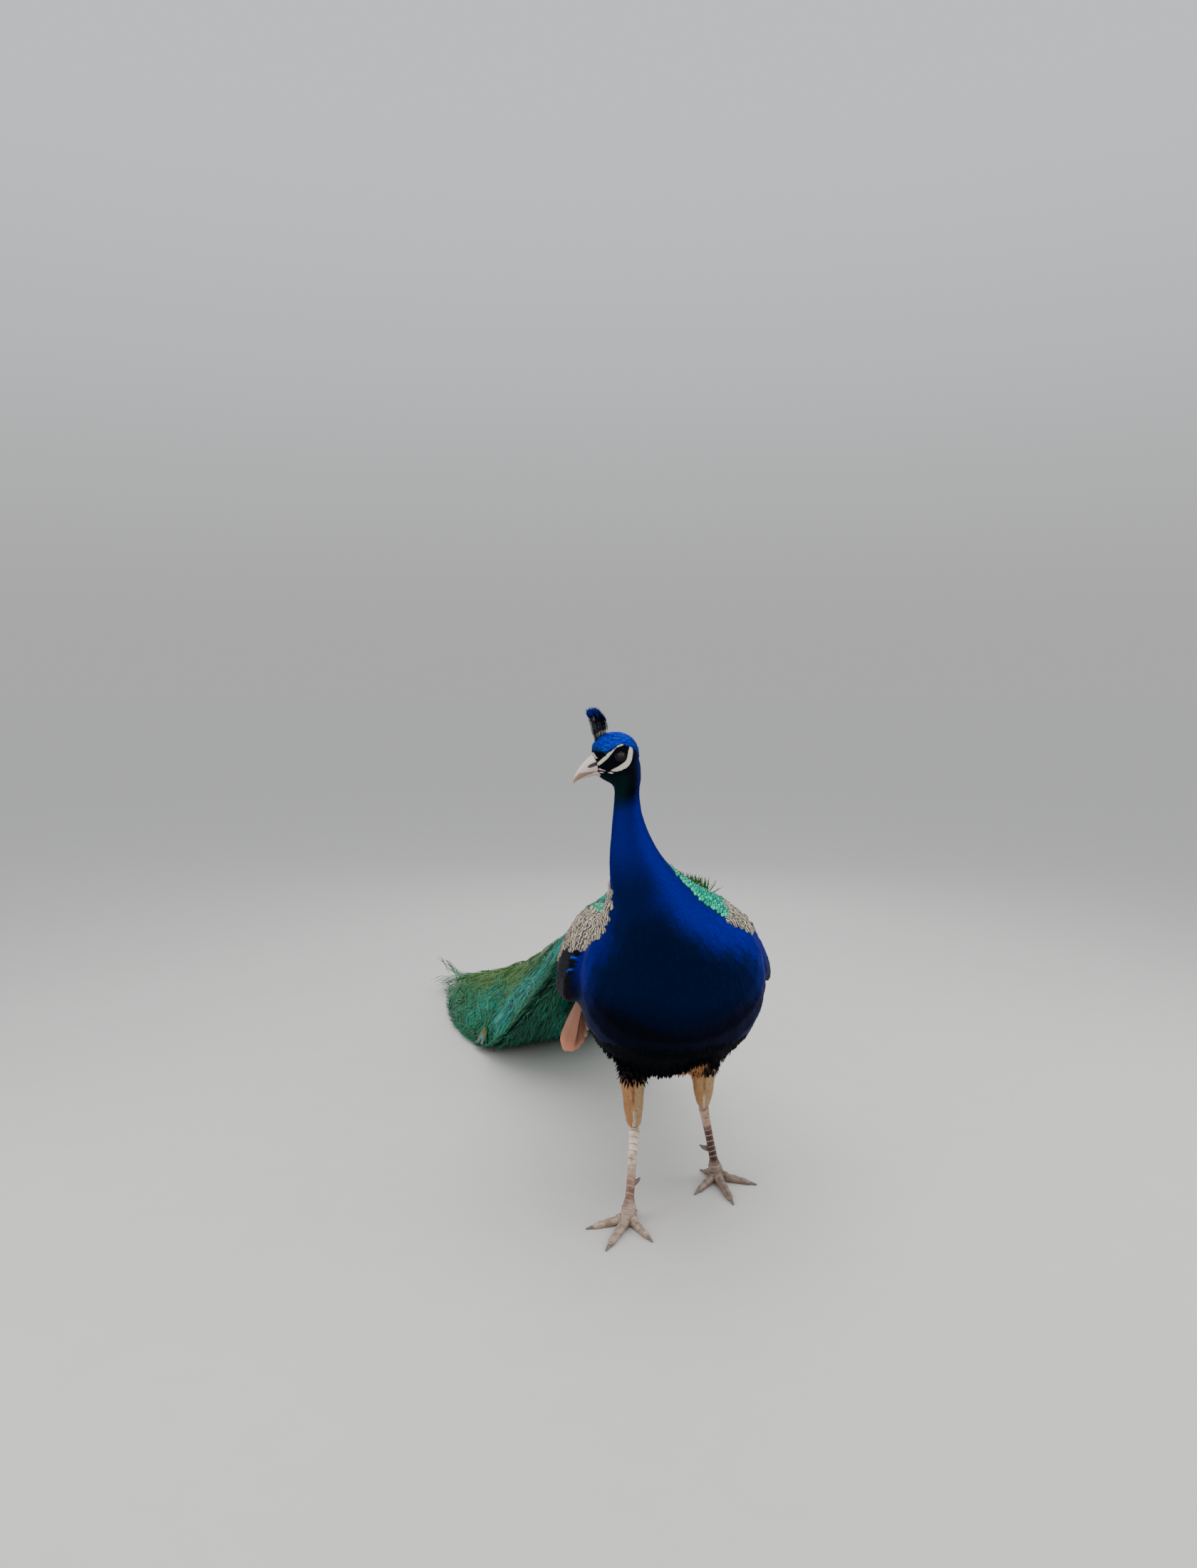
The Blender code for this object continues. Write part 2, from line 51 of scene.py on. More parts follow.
# Places below are given from the middle of the two feet, on the floor.
bird = {
    "headCentre": (-0.1396, -0.1429, 0.8277),   # midway between the eyes
    "headTurn": 78,                             # degrees, to the bird's right
}


def boxMiddle(node):
    low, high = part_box(node)
    return (Vector(low) + Vector(high)) / 2


birdOrigin = np.array((boxMiddle("eye_left") + boxMiddle("eye_right")) / 2 - Vector(bird["headCentre"]))
headAngle = math.radians(-90 - bird["headTurn"])
headAhead = np.array([math.cos(headAngle), math.sin(headAngle), 0.0])
headLeft = np.array([-headAhead[1], headAhead[0], 0.0])
headMiddle = np.array(bird["headCentre"])
upward = np.array([0.0, 0.0, 1.0])


def headPlace(h, side, z):
    # forward, to the left and up from the middle of the head, as a place on the bird
    h, side, z = (np.asarray(v, float)[..., None] for v in (h, side, z))
    return headMiddle + headAhead * h + headLeft * side + upward * z


def headLocal(places):
    # the reverse: how far places are forward, to the left and up from the middle of the head
    away = places - headMiddle
    return away @ headAhead, away @ headLeft, away[..., 2]


def fromHead(places):
    return np.linalg.norm(places - headMiddle, axis=-1)


# Small helpers for places and meshes.

def unit(v):
    return v / np.maximum(np.linalg.norm(v, axis=-1, keepdims=True), 1e-9)


def ease(low, high, value):
    t = np.clip((value - low) / (high - low), 0, 1)
    return t * t * (3 - 2 * t)


def ripple(places, scale, seed=0):
    # smooth, repeatable unevenness between -1 and 1
    rng = np.random.default_rng(seed)
    total = np.zeros(places.shape[:-1])
    for _ in range(5):
        wave = rng.normal(size=3) * scale
        total += np.sin(places @ wave + rng.uniform(0, 6.28))
    return total / 3


def between(rows, t):
    # Catmull-Rom reading of a table at row number t, for many t at once
    rows = np.asarray(rows, float)
    t = np.clip(np.asarray(t, float), 0, len(rows) - 1 - 1e-9)
    i = t.astype(int)
    f = (t - i)[..., None]
    a, b, c, d = (rows[np.clip(i + k, 0, len(rows) - 1)] for k in (-1, 0, 1, 2))
    return 0.5 * (2 * b + (c - a) * f + (2 * a - 5 * b + 4 * c - d) * f ** 2
                  + (3 * b - a - 3 * c + d) * f ** 3)


def blend(a, b, w):
    return a + (b - a) * np.asarray(w)[..., None]


def joined(x, y, z):
    # three coordinates of matching shapes as places
    return np.stack(np.broadcast_arrays(x, y, z), -1)


def only(ob):
    bpy.ops.object.select_all(action="DESELECT")
    bpy.context.view_layer.objects.active = ob
    ob.select_set(True)


def modify(ob, *modifiers):
    # modifiers, each a kind and its settings, applied in turn
    for kind, settings in modifiers:
        mod = ob.modifiers.new(kind.lower(), kind)
        for label, value in settings.items():
            setattr(mod, label, value)
    only(ob)
    for mod in list(ob.modifiers):
        bpy.ops.object.modifier_apply(modifier=mod.name)


def edit(ob, *steps):
    # operators, each with its settings, in edit mode
    only(ob)
    bpy.ops.object.mode_set(mode="EDIT")
    for operator, settings in steps:
        operator(**settings)
    bpy.ops.object.mode_set(mode="OBJECT")


everything = (bpy.ops.mesh.select_all, {"action": "SELECT"})
nothing = (bpy.ops.mesh.select_all, {"action": "DESELECT"})
byVertex = (bpy.ops.mesh.select_mode, {"type": "VERT"})
unwrapping = (everything, (bpy.ops.uv.smart_project, {"angle_limit": math.radians(66),
                                                      "island_margin": 0.002}))


def readTable(source, what, width=3, kind=np.float32):
    flat = np.empty(len(source) * width, kind)
    source.foreach_get(what, flat)
    return flat.reshape(-1, width)


def surfaceOf(ob):
    # the places of a mesh's vertices on the bird, and its smooth normals
    places, normals = (readTable(ob.data.vertices, what).astype(float) for what in ("co", "normal"))
    return places - birdOrigin, normals


def setPlaces(ob, places):
    ob.data.vertices.foreach_set("co", (places + birdOrigin).astype(np.float32).ravel())
    ob.data.update()


def addFacts(mesh, **facts):
    # a number on each vertex under each name
    for label, values in facts.items():
        layer = mesh.attributes.new(label, "FLOAT", "POINT")
        layer.data.foreach_set("value", values.astype(np.float32).ravel())


def addTone(mesh, tones):
    full = np.ones((len(mesh.vertices), 4), np.float32)
    full[:, :3] = tones
    mesh.attributes.new("Tone", "FLOAT_COLOR", "POINT").data.foreach_set("color", full.ravel())


def keepPiece(ob, slot, *nodes):
    # one body carries everything; nodes are the CAD nodes that the piece stands for
    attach(ob, "root")
    if nodes:
        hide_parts(*nodes)
    return ob


def lay(name, grids, bake, tones, luck, material, slot, *nodes):
    # Sheets of quads, pieces x rows x columns of places on the bird. bake: root's place on the unwrap.
    # tones: one colour for all, or for each piece, row or corner. luck: one chance number for each piece.
    count, rows, cols, _ = grids.shape
    mesh = bpy.data.meshes.new(name)
    mesh.vertices.add(count * rows * cols)
    mesh.vertices.foreach_set("co", (grids + birdOrigin).astype(np.float32).ravel())
    i, j = np.meshgrid(np.arange(rows - 1), np.arange(cols - 1), indexing="ij")
    quad = np.stack([i * cols + j, i * cols + j + 1, (i + 1) * cols + j + 1, (i + 1) * cols + j], -1)
    faces = (np.arange(count)[:, None, None] * rows * cols + quad.reshape(-1, 4)).reshape(-1, 4)
    mesh.loops.add(faces.size)
    mesh.loops.foreach_set("vertex_index", faces.ravel().astype(np.int32))
    mesh.polygons.add(len(faces))
    mesh.polygons.foreach_set("loop_start", np.arange(0, faces.size, 4, dtype=np.int32))
    mesh.polygons.foreach_set("loop_total", np.full(len(faces), 4, np.int32))
    along, across = np.meshgrid(np.linspace(0, 1, rows), np.linspace(0, 1, cols), indexing="ij")
    vane = np.broadcast_to(np.stack([across, along], -1), (count, rows, cols, 2))
    spot = bake[:, None, None, :] + patchSize * (vane - 0.5)
    for label, table in (("OFBake", spot), ("Vane", vane)):
        layer = mesh.uv_layers.new(name=label)
        layer.data.foreach_set("uv", table.reshape(-1, 2)[faces.ravel()].astype(np.float32).ravel())
    mesh.uv_layers.active = mesh.uv_layers["OFBake"]
    addFacts(mesh, Luck=np.repeat(luck, rows * cols))
    tones = np.asarray(tones, float)
    while 1 < tones.ndim < 4:
        tones = tones[..., None, :]
    addTone(mesh, np.broadcast_to(tones, (count, rows, cols, 3)).reshape(-1, 3))
    mesh.update(calc_edges=True)
    mesh.validate()
    mesh.materials.append(material)
    mesh.shade_smooth()
    ob = bpy.data.objects.new(name, mesh)
    bpy.context.scene.collection.objects.link(ob)
    print(name, count, "pieces,", len(faces) * 2, "triangles")
    return keepPiece(ob, slot, *nodes)


# Helpers for materials.

class Wire:
    # a value on its way through a material: sums with wires and numbers become Math nodes
    def __init__(self, socket):
        self.socket = socket

    def __add__(self, other):
        return maths("ADD", self, other)

    def __sub__(self, other):
        return maths("SUBTRACT", self, other)

    def __rsub__(self, other):
        return maths("SUBTRACT", other, self)

    def __mul__(self, other):
        return maths("MULTIPLY", self, other)

    def __abs__(self):
        return maths("ABSOLUTE", self)


desk = {}     # "tree" is the node tree that new nodes go into
patchSize = 0.003     # side of one feather's patch on the unwrap


def newMaterial(name):
    material = bpy.data.materials.new(name)
    material.use_nodes = True
    desk["tree"] = material.node_tree
    return material


def put(target, value):
    # a wire, a colour or a number into a socket
    if isinstance(value, Wire):
        desk["tree"].links.new(value.socket, target)
    else:
        target.default_value = (*value, 1.0) if target.type == "RGBA" else value


def node(kind, inputs, out=0, **settings):
    # a node with its inputs filled, as the wire of one output, or of all when out is None
    made = desk["tree"].nodes.new("ShaderNode" + kind)
    for label, value in settings.items():
        setattr(made, label, value)
    for place, value in inputs.items():
        put(made.inputs[place], value)
    return [Wire(socket) for socket in made.outputs] if out is None else Wire(made.outputs[out])


def finished(material, inputs):
    # the material with the inputs of its surface filled
    for label, value in inputs.items():
        put(material.node_tree.nodes["Principled BSDF"].inputs[label], value)
    return material


def maths(operation, a, b=0.0, clamp=False):
    return node("Math", {0: a, 1: b}, operation=operation, use_clamp=clamp)


def farFrom(x, y):
    return maths("SQRT", x * x + y * y)


def mixed(factor, a, b, way="MIX"):
    return node("Mix", {0: factor, 6: a, 7: b}, 2, data_type="RGBA", blend_type=way)


def scaledColour(colour, amount):
    return node("VectorMath", {0: colour, "Scale": amount}, operation="SCALE")


def ramp(factor, stops):
    wire = node("ValToRGB", {0: factor})
    elements = wire.socket.node.color_ramp.elements
    while len(elements) < len(stops):
        elements.new(0.5)
    for element, (place, colour) in zip(elements, stops):
        element.position = place
        element.color = (*colour, 1.0)
    return wire


def stepUp(low, high, value):
    inputs = {"Value": value, "From Min": low, "From Max": high}
    return node("MapRange", inputs, interpolation_type="SMOOTHSTEP")


def fact(label, out="Fac"):
    return node("Attribute", {}, out, attribute_name=label)


def toneHere():
    return fact("Tone", "Color")


def objectPlace(**mapping):
    place = node("TexCoord", {}, "Object")
    return node("Mapping", {"Vector": place, **mapping}) if mapping else place


def vanePlace():
    # across 0..1 and along 0..1 of the feather
    return node("SeparateXYZ", {0: node("UVMap", {}, uv_map="Vane")}, None)[:2]


def noise(scale, detail=3.0, vector=None):
    return node("TexNoise", {"Vector": vector or objectPlace(), "Scale": scale, "Detail": detail}, "Fac")


def bump(height, strength, distance):
    return node("Bump", {"Strength": strength, "Distance": distance, "Height": height}, "Normal")


def makeBarbGroup():
    # fine slanted barbs and the shaft line of a feather
    group = desk["tree"] = bpy.data.node_groups.new("featherBarbs", "ShaderNodeTree")
    for label, value in (("Across", 0.5), ("Along", 0.5), ("Barbs", 24.0), ("Slant", 0.8)):
        socket = group.interface.new_socket(name=label, in_out="INPUT", socket_type="NodeSocketFloat")
        socket.default_value = value
    for label in ("Height", "Shaft", "Strand"):
        group.interface.new_socket(name=label, in_out="OUTPUT", socket_type="NodeSocketFloat")
    across, along, count, slant = (Wire(socket) for socket in group.nodes.new("NodeGroupInput").outputs[:4])
    off = abs(across - 0.5)
    strand = maths("SINE", (along - off * slant) * count * 6.283) * 0.5 + 0.5
    shaft = 1.0 - stepUp(0.015, 0.06, off)
    end = group.nodes.new("NodeGroupOutput")
    for label, wire in (("Strand", strand), ("Shaft", shaft), ("Height", strand + shaft * 1.5)):
        put(end.inputs[label], wire)
    return group


barbGroup = makeBarbGroup()


def barbs(count, slant):
    # height, shaft line and strands of the barbs, then across and along
    across, along = vanePlace()
    inputs = {"Across": across, "Along": along, "Barbs": count, "Slant": slant}
    return (*node("Group", inputs, None, node_tree=barbGroup), across, along)


# The skin under the coat.

trunkLine = [  # back y, z, belly y, z, sideways centre, half width, from the rump to the top of the neck
    (0.360, 0.450, 0.360, 0.412, 0.000, 0.026), (0.300, 0.488, 0.300, 0.374, -0.002, 0.070),
    (0.215, 0.528, 0.222, 0.328, -0.006, 0.114), (0.125, 0.556, 0.128, 0.286, -0.012, 0.146),
    (0.040, 0.573, 0.025, 0.262, -0.018, 0.163), (-0.020, 0.580, -0.070, 0.264, -0.023, 0.169),
    (-0.055, 0.588, -0.150, 0.314, -0.030, 0.167), (-0.076, 0.602, -0.200, 0.394, -0.040, 0.149),
    (-0.091, 0.622, -0.222, 0.476, -0.058, 0.113), (-0.101, 0.650, -0.221, 0.550, -0.085, 0.073),
    (-0.108, 0.685, -0.205, 0.615, -0.106, 0.051), (-0.113, 0.720, -0.187, 0.668, -0.116, 0.037),
    (-0.116, 0.756, -0.174, 0.718, -0.121, 0.0272), (-0.117, 0.824, -0.164, 0.806, -0.1212, 0.0232)]
browLine = [  # forward, up and half width of the bare white stripe over the eye
    (0.0450, -0.0218, 0.0013), (0.0386, -0.0179, 0.0018), (0.0322, -0.0119, 0.0026),
    (0.0258, -0.0055, 0.0029), (0.0193, 0.0014, 0.0026), (0.0142, 0.0062, 0.0017), (0.0090, 0.0106, 0.0009),
    (0.0043, 0.0136, 0.0013), (-0.0005, 0.0152, 0.0016), (-0.0052, 0.0164, 0.0007)]
cheekLine = [  # the same of the white crescent behind and under the eye
    (-0.0177, 0.0104, 0.0028), (-0.0169, 0.0055, 0.0041), (-0.0158, -0.0011, 0.0044),
    (-0.0142, -0.0077, 0.0044), (-0.0106, -0.0136, 0.0046), (-0.0043, -0.0182, 0.0046),
    (0.0028, -0.0219, 0.0039), (0.0098, -0.0240, 0.0026), (0.0144, -0.0250, 0.0012)]
gapeLines = [  # thin pale lines behind the bill, and a small spot under the crescent
    [(0.0388, -0.0225, 0.0013), (0.0317, -0.0226, 0.0013), (0.0238, -0.0254, 0.0008)],
    [(0.0380, -0.0282, 0.0012), (0.0317, -0.0280, 0.0013), (0.0261, -0.0275, 0.0008)],
    [(0.0190, -0.0282, 0.0009), (0.0155, -0.0283, 0.0015), (0.0120, -0.0286, 0.0009)]]
# the pale root of the bill
cereLine = [(0.0520, -0.0060, 0.0060), (0.0455, -0.0030, 0.0068), (0.0400, -0.0014, 0.0052)]
crownLine = np.array([  # forward and up, the lower edge of the blue crown from nape to bill
    (-0.0300, 0.0000), (-0.0260, 0.0063), (-0.0225, 0.0108), (-0.0139, 0.0132), (-0.0076, 0.0172),
    (-0.0021, 0.0190), (0.0051, 0.0165), (0.0098, 0.0128), (0.0177, 0.0090), (0.0256, 0.0062),
    (0.0335, 0.0050), (0.0414, 0.0045), (0.0546, 0.0040)])
skinPlan = {
    "nodes": ("trunk", "neck_lower", "neck_upper", "head", "thigh_left", "thigh_right",
              "wing_left", "wing_right"),
    "voxel": 0.0042, "swell": 0.0009,
    "bodyDepth": 0.0080, "neckDepth": 0.0050, "headDepth": 0.0014, "legDepth": 0.0026,
}


def lineMask(line, h, z, soft=0.0006):
    # 1 inside a stripe of changing width, in the plane of the head's profile
    best = np.full(np.shape(h), -1.0)
    for lh, lz, half in between(line, np.linspace(0, len(line) - 1, 12 * len(line))):
        best = np.maximum(best, half - np.hypot(h - lh, z - lz))
    return ease(-soft, soft, best)


def cereMask(h, side, z):
    # the pale root of the bill, narrowing towards the crown
    return lineMask(cereLine, h, z, 0.0004) * ease(0.0, 0.0014, 0.0132 - 0.75 * (z + 0.006) - np.abs(side))


def bareFace(places):
    # 1 on bare skin: the stripes over and under the eye, the lines behind the bill and its pale root
    h, side, z = headLocal(places)
    mask = np.maximum(lineMask(browLine, h, z), lineMask(cheekLine, h, z)) * (np.abs(side) > 0.006)
    for line in gapeLines:
        mask = np.maximum(mask, lineMask(line, h, z, 0.0004))
    return np.maximum(mask, cereMask(h, side, z)) * (fromHead(places) < 0.07)


def copyNodes(name, nodes, swell):
    # one mesh out of merged copies of CAD nodes
    copies = []
    for label in nodes:
        copy = bpy.data.objects.new(name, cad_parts[label].data.copy())
        bpy.context.scene.collection.objects.link(copy)
        edit(copy, everything, (bpy.ops.mesh.remove_doubles, {"threshold": 0.00002}),
             (bpy.ops.mesh.normals_make_consistent, {"inside": False}))
        modify(copy, ("DISPLACE", {"strength": swell, "mid_level": 0.0}))
        copies.append(copy)
    only(copies[0])
    for copy in copies:
        copy.select_set(True)
    if len(copies) > 1:
        bpy.ops.object.join()
    copies[0].name = name
    copies[0].data.materials.clear()
    return copies[0]


def remesh(ob, voxel, soften):
    modify(ob, ("REMESH", {"mode": "VOXEL", "voxel_size": voxel, "use_smooth_shade": True}),
           ("SMOOTH", {"factor": 0.5, "iterations": soften}))


def refineHead(ob, radius):
    # one more cut through the faces near the middle of the head
    close = fromHead(surfaceOf(ob)[0]) <= radius
    edit(ob, nothing)
    ob.data.vertices.foreach_set("select", close)
    edit(ob, byVertex, (bpy.ops.mesh.subdivide, {"number_cuts": 1, "smoothness": 0.6}))


def flowLine(places):
    # direction from the head to the tail at each place, and its row in the trunk table
    rows = np.array(trunkLine)
    top, bottom = rows[:, 0:2], rows[:, 2:4]
    ahead = unit(-np.gradient((top + bottom) / 2, axis=0))
    p = places[:, 1:3][:, None]
    axis = bottom - top
    share = np.clip(((p - top) * axis).sum(-1) / (axis ** 2).sum(-1), 0, 1)
    gap = np.linalg.norm(p - (top + axis * share[..., None]), axis=-1)
    weight = 1 / (gap + 0.004) ** 3
    weight /= weight.sum(1, keepdims=True)
    return np.column_stack([np.zeros(len(places)), unit(weight @ ahead)]), weight @ np.arange(len(rows))


legs = {  # thigh centres from top to bottom, then hock, ankle, and the headings of the toes
    "right": {"thigh": np.array([(-0.096, -0.090, 0.350), (-0.092, -0.056, 0.245), (-0.085, -0.034, 0.164)]),
              "hock": (-0.084, -0.032, 0.150), "ankle": (-0.101, -0.066, 0.018),
              "toes": {"middle": -33.0, "inner": 20.0, "outer": -82.0, "hind": 150.0}},
    "left": {"thigh": np.array([(0.030, -0.085, 0.350), (0.043, -0.026, 0.245), (0.060, 0.032, 0.166)]),
             "hock": (0.063, 0.040, 0.152), "ankle": (0.095, 0.064, 0.018),
             "toes": {"middle": 2.0, "inner": -46.0, "outer": 62.0, "hind": 205.0}},
}
wings = {"left": (1, -0.026, 0.0), "right": (-1, 0.026, 0.014)}    # side, how far out, how far dropped
darkEdge = (0.501, 0.50)      # upper edge of the wing's dark part, and how fast it falls backwards
coatEdges = {  # where one kind of plumage gives way to the next
    "wingLeft": 0.092, "wingRight": 0.145,     # inner edges of the folded wings, sideways
    "wingFoot": (0.365, 0.395),                # heights between which the wing's feathers begin
    "wingEnd": 0.32,                           # nothing of the wing further back
    "backFoot": (0.480, 0.500),                # heights between which the back's scales begin
    "backTilt": (0.15, 0.42),                  # how far the surface has to face upwards there
    "neckRow": 8.6,                            # row of the trunk table where the neck starts
}
# where the blue of the neck and breast gives way to back and wing: height, how far back
blueEdges = {"left": [(0.400, -0.030), (0.510, -0.040), (0.522, -0.128), (0.550, -0.150)],
             "right": [(0.400, -0.057), (0.488, -0.060), (0.513, -0.119), (0.531, -0.148),
                       (0.545, -0.165), (0.562, -0.172)]}


def headShare(places):
    # 1 on the head, 0 from a little way down the neck
    return ease(-0.062, -0.036, headLocal(places)[2]) * (fromHead(places) < 0.085)


def legShare(places):
    # by height: 1 on the lower part of the thighs, 0 above
    return ease(0.292, 0.262, places[:, 2])


def behindBlue(places):
    # 1 behind the edge of the blue plumage
    x, y, z = places.T
    left, right = (np.interp(z, *np.array(blueEdges[label]).T) for label in ("left", "right"))
    share = ease(-0.14, -0.06, x)
    edge = left * share + right * (1 - share) + 0.004 * ripple(places, 60, 15)
    return ease(-0.004, 0.006, y - edge) * ease(9.45, 9.15, flowLine(places)[1])


def wingSide(places):
    # 1 on the folded wings, outside the scaled back
    x, y, _ = places.T
    inner = 0.30 * np.clip(0.011 - y, 0, 0.16) + 0.003 * ripple(places, 50, 16)
    return np.maximum(ease(-0.004, 0.004, x - coatEdges["wingLeft"] + inner),
                      ease(-0.004, 0.004, -x - coatEdges["wingRight"] + inner))


def wingShare(places):
    return (wingSide(places) * behindBlue(places) * ease(*coatEdges["wingFoot"], places[:, 2])
            * (places[:, 1] < coatEdges["wingEnd"]))


def backShare(places, normals):
    # the scaled back: between the wings, from the foot of the neck to the rump
    return (ease(*coatEdges["backTilt"], normals[:, 2]) * behindBlue(places) * (1 - wingSide(places))
            * ease(*coatEdges["backFoot"], places[:, 2]))


def darkWing(places):
    # 1 on the dark lower part of the folded wings
    drop = np.where(places[:, 0] > -0.03, wings["left"][2], wings["right"][2])
    edge = darkEdge[0] - drop - darkEdge[1] * np.clip(places[:, 1], 0, 0.3) + 0.005 * ripple(places, 80, 5)
    return ease(0.002, -0.002, places[:, 2] - edge)


def makeSkin():
    plan = skinPlan
    skin = copyNodes("skin", plan["nodes"], plan["swell"])
    remesh(skin, plan["voxel"], 4)
    places, normals = surfaceOf(skin)
    depth = plan["bodyDepth"] + (plan["neckDepth"] - plan["bodyDepth"]) * ease(8, 10, flowLine(places)[1])
    thin = plan["legDepth"] - 0.0014 * ease(0.225, 0.200, places[:, 2])
    depth += (thin - depth) * legShare(places)
    depth += (plan["headDepth"] - depth) * headShare(places)
    setPlaces(skin, places - normals * (depth + plan["swell"])[:, None])
    modify(skin, ("SMOOTH", {"factor": 0.5, "iterations": 4}))
    for radius in (0.060, 0.046, 0.027):
        refineHead(skin, radius)

    # eye sockets, brow, the swelling of the bare patches and fine skin folds
    places, normals = surfaceOf(skin)
    h, side, z = headLocal(places)
    near = fromHead(places) < 0.06
    around = np.hypot(h, z)
    socket = near * ease(0.0125, 0.0075, around) * (np.abs(side) > 0.008)
    hollow = 0.0167 + 0.0036 * ease(0.0040, 0.0064, around) + 0.0010 * ease(0.0066, 0.0120, around)
    places += headLeft * ((np.sign(side) * hollow - side) * socket)[:, None]
    bare = bareFace(places)
    brow = near * ease(0.006, 0.0, np.abs(np.hypot(h * 0.8, z - 0.002) - 0.0125)) * (z > 0.003)
    rise = (0.0010 * bare + 0.0004 * cereMask(h, side, z) + 0.0007 * brow
            + 0.00012 * ripple(places, 900, 3) * bare)
    setPlaces(skin, places + normals * (rise * near)[:, None])
    edit(skin, *unwrapping)
    skin.data.uv_layers[0].name = "OFBake"
    skin.data.shade_smooth()
    return skin


def groundOf(ob):
    # what feathers are rooted in and laid along: a finished mesh read once
    mesh = ob.data
    places, normals = surfaceOf(ob)
    mesh.calc_loop_triangles()
    tris, loops = (readTable(mesh.loop_triangles, what, 3, np.int32) for what in ("vertices", "loops"))
    uv = readTable(mesh.uv_layers["OFBake"].data, "uv", 2)
    corners = places[tris]
    away = np.cross(corners[:, 1] - corners[:, 0], corners[:, 2] - corners[:, 0])
    return {"places": places, "normals": normals, "tris": tris, "corners": corners,
            "uv": uv[loops], "areas": np.linalg.norm(away, axis=1) / 2,
            "faceNormals": unit(away), "middles": corners.mean(1),
            "tree": BVHTree.FromPolygons(places.tolist(), tris.tolist())}


def inFaces(ground, face, share):
    # the smooth normal and the spot on the unwrap, from the shares of a face's corners
    share = share[..., None]
    return unit((ground["normals"][ground["tris"][face]] * share).sum(1)), (ground["uv"][face] * share).sum(1)


def nearest(ground, places):
    # nearest place on the ground, its smooth normal, and its spot on the unwrap
    found = [ground["tree"].find_nearest(p) for p in places.tolist()]
    face = np.array([f[2] for f in found])
    spot = np.array([f[0] for f in found])
    share = 1 / (np.linalg.norm(ground["corners"][face] - spot[:, None], axis=2) + 1e-6)
    share /= share.sum(1, keepdims=True)
    return spot, *inFaces(ground, face, share)


def scatter(ground, mask, spacing, seed):
    # evenly spread roots where the mask, a value for each face of the ground, lets them grow
    rng = np.random.default_rng(seed)
    # too many are drawn at first, then thinned by cells and by distance
    chance = ground["areas"] * (mask > 0.02)
    count = int(chance.sum() / spacing ** 2 * 5) + 1
    face = rng.choice(len(chance), count, p=chance / chance.sum())
    a, b = np.sqrt(rng.random(count)), rng.random(count)
    share = np.column_stack([1 - a, a * (1 - b), a * b])
    spots = (ground["corners"][face] * share[..., None]).sum(1)
    keep = rng.random(count) < np.clip(mask[face], 0, 1) ** 0.5 + 0.2
    face, share, spots = face[keep], share[keep], spots[keep]
    cell = spacing * 0.86
    key = np.floor(spots / cell).astype(np.int64)
    order = np.argsort(np.linalg.norm(spots / cell - key - 0.5, axis=1), kind="stable")
    code = (key[:, 0] * 73856093) ^ (key[:, 1] * 19349663) ^ (key[:, 2] * 83492791)
    _, first = np.unique(code[order], return_index=True)
    chosen = order[np.sort(first)]
    tree = KDTree(len(chosen))
    for i, spot in enumerate(spots[chosen].tolist()):
        tree.insert(spot, i)
    tree.balance()
    dropped = np.zeros(len(chosen), bool)
    for i, spot in enumerate(spots[chosen].tolist()):
        if not dropped[i]:
            for _, other, _ in tree.find_range(spot, spacing * 0.72):
                dropped[other] |= other > i
    chosen = chosen[~dropped]
    return spots[chosen], *inFaces(ground, face[chosen], share[chosen])


skin = makeSkin()
skinGround = groundOf(skin)
print("skin made:", len(skinGround["tris"]), "triangles")
faceMiddles = skinGround["middles"]
faceHead = headShare(faceMiddles)
faceLeg = legShare(faceMiddles)
faceWing = wingShare(faceMiddles)
faceRow = flowLine(faceMiddles)[1]
faceBare = bareFace(faceMiddles)
faceBack = backShare(faceMiddles, skinGround["faceNormals"])


def lieAt(places, normals):
    # the way feathers point: back from the bill, down the neck, along the trunk, down the thighs
    onHead = headShare(places)[:, None]
    rising = 1.5 * ease(0.3, 0.8, normals @ headAhead) * ease(-0.012, 0.0, headLocal(places)[2]) - 0.35
    lie = flowLine(places)[0] * (1 - onHead) + (-headAhead * 0.9 + upward * rising[:, None]) * onHead
    leg = legShare(places)[:, None]
    lie = lie * (1 - leg) + np.array([0, 0.15, -1.0]) * leg
    return unit(lie - normals * (lie * normals).sum(1, keepdims=True))


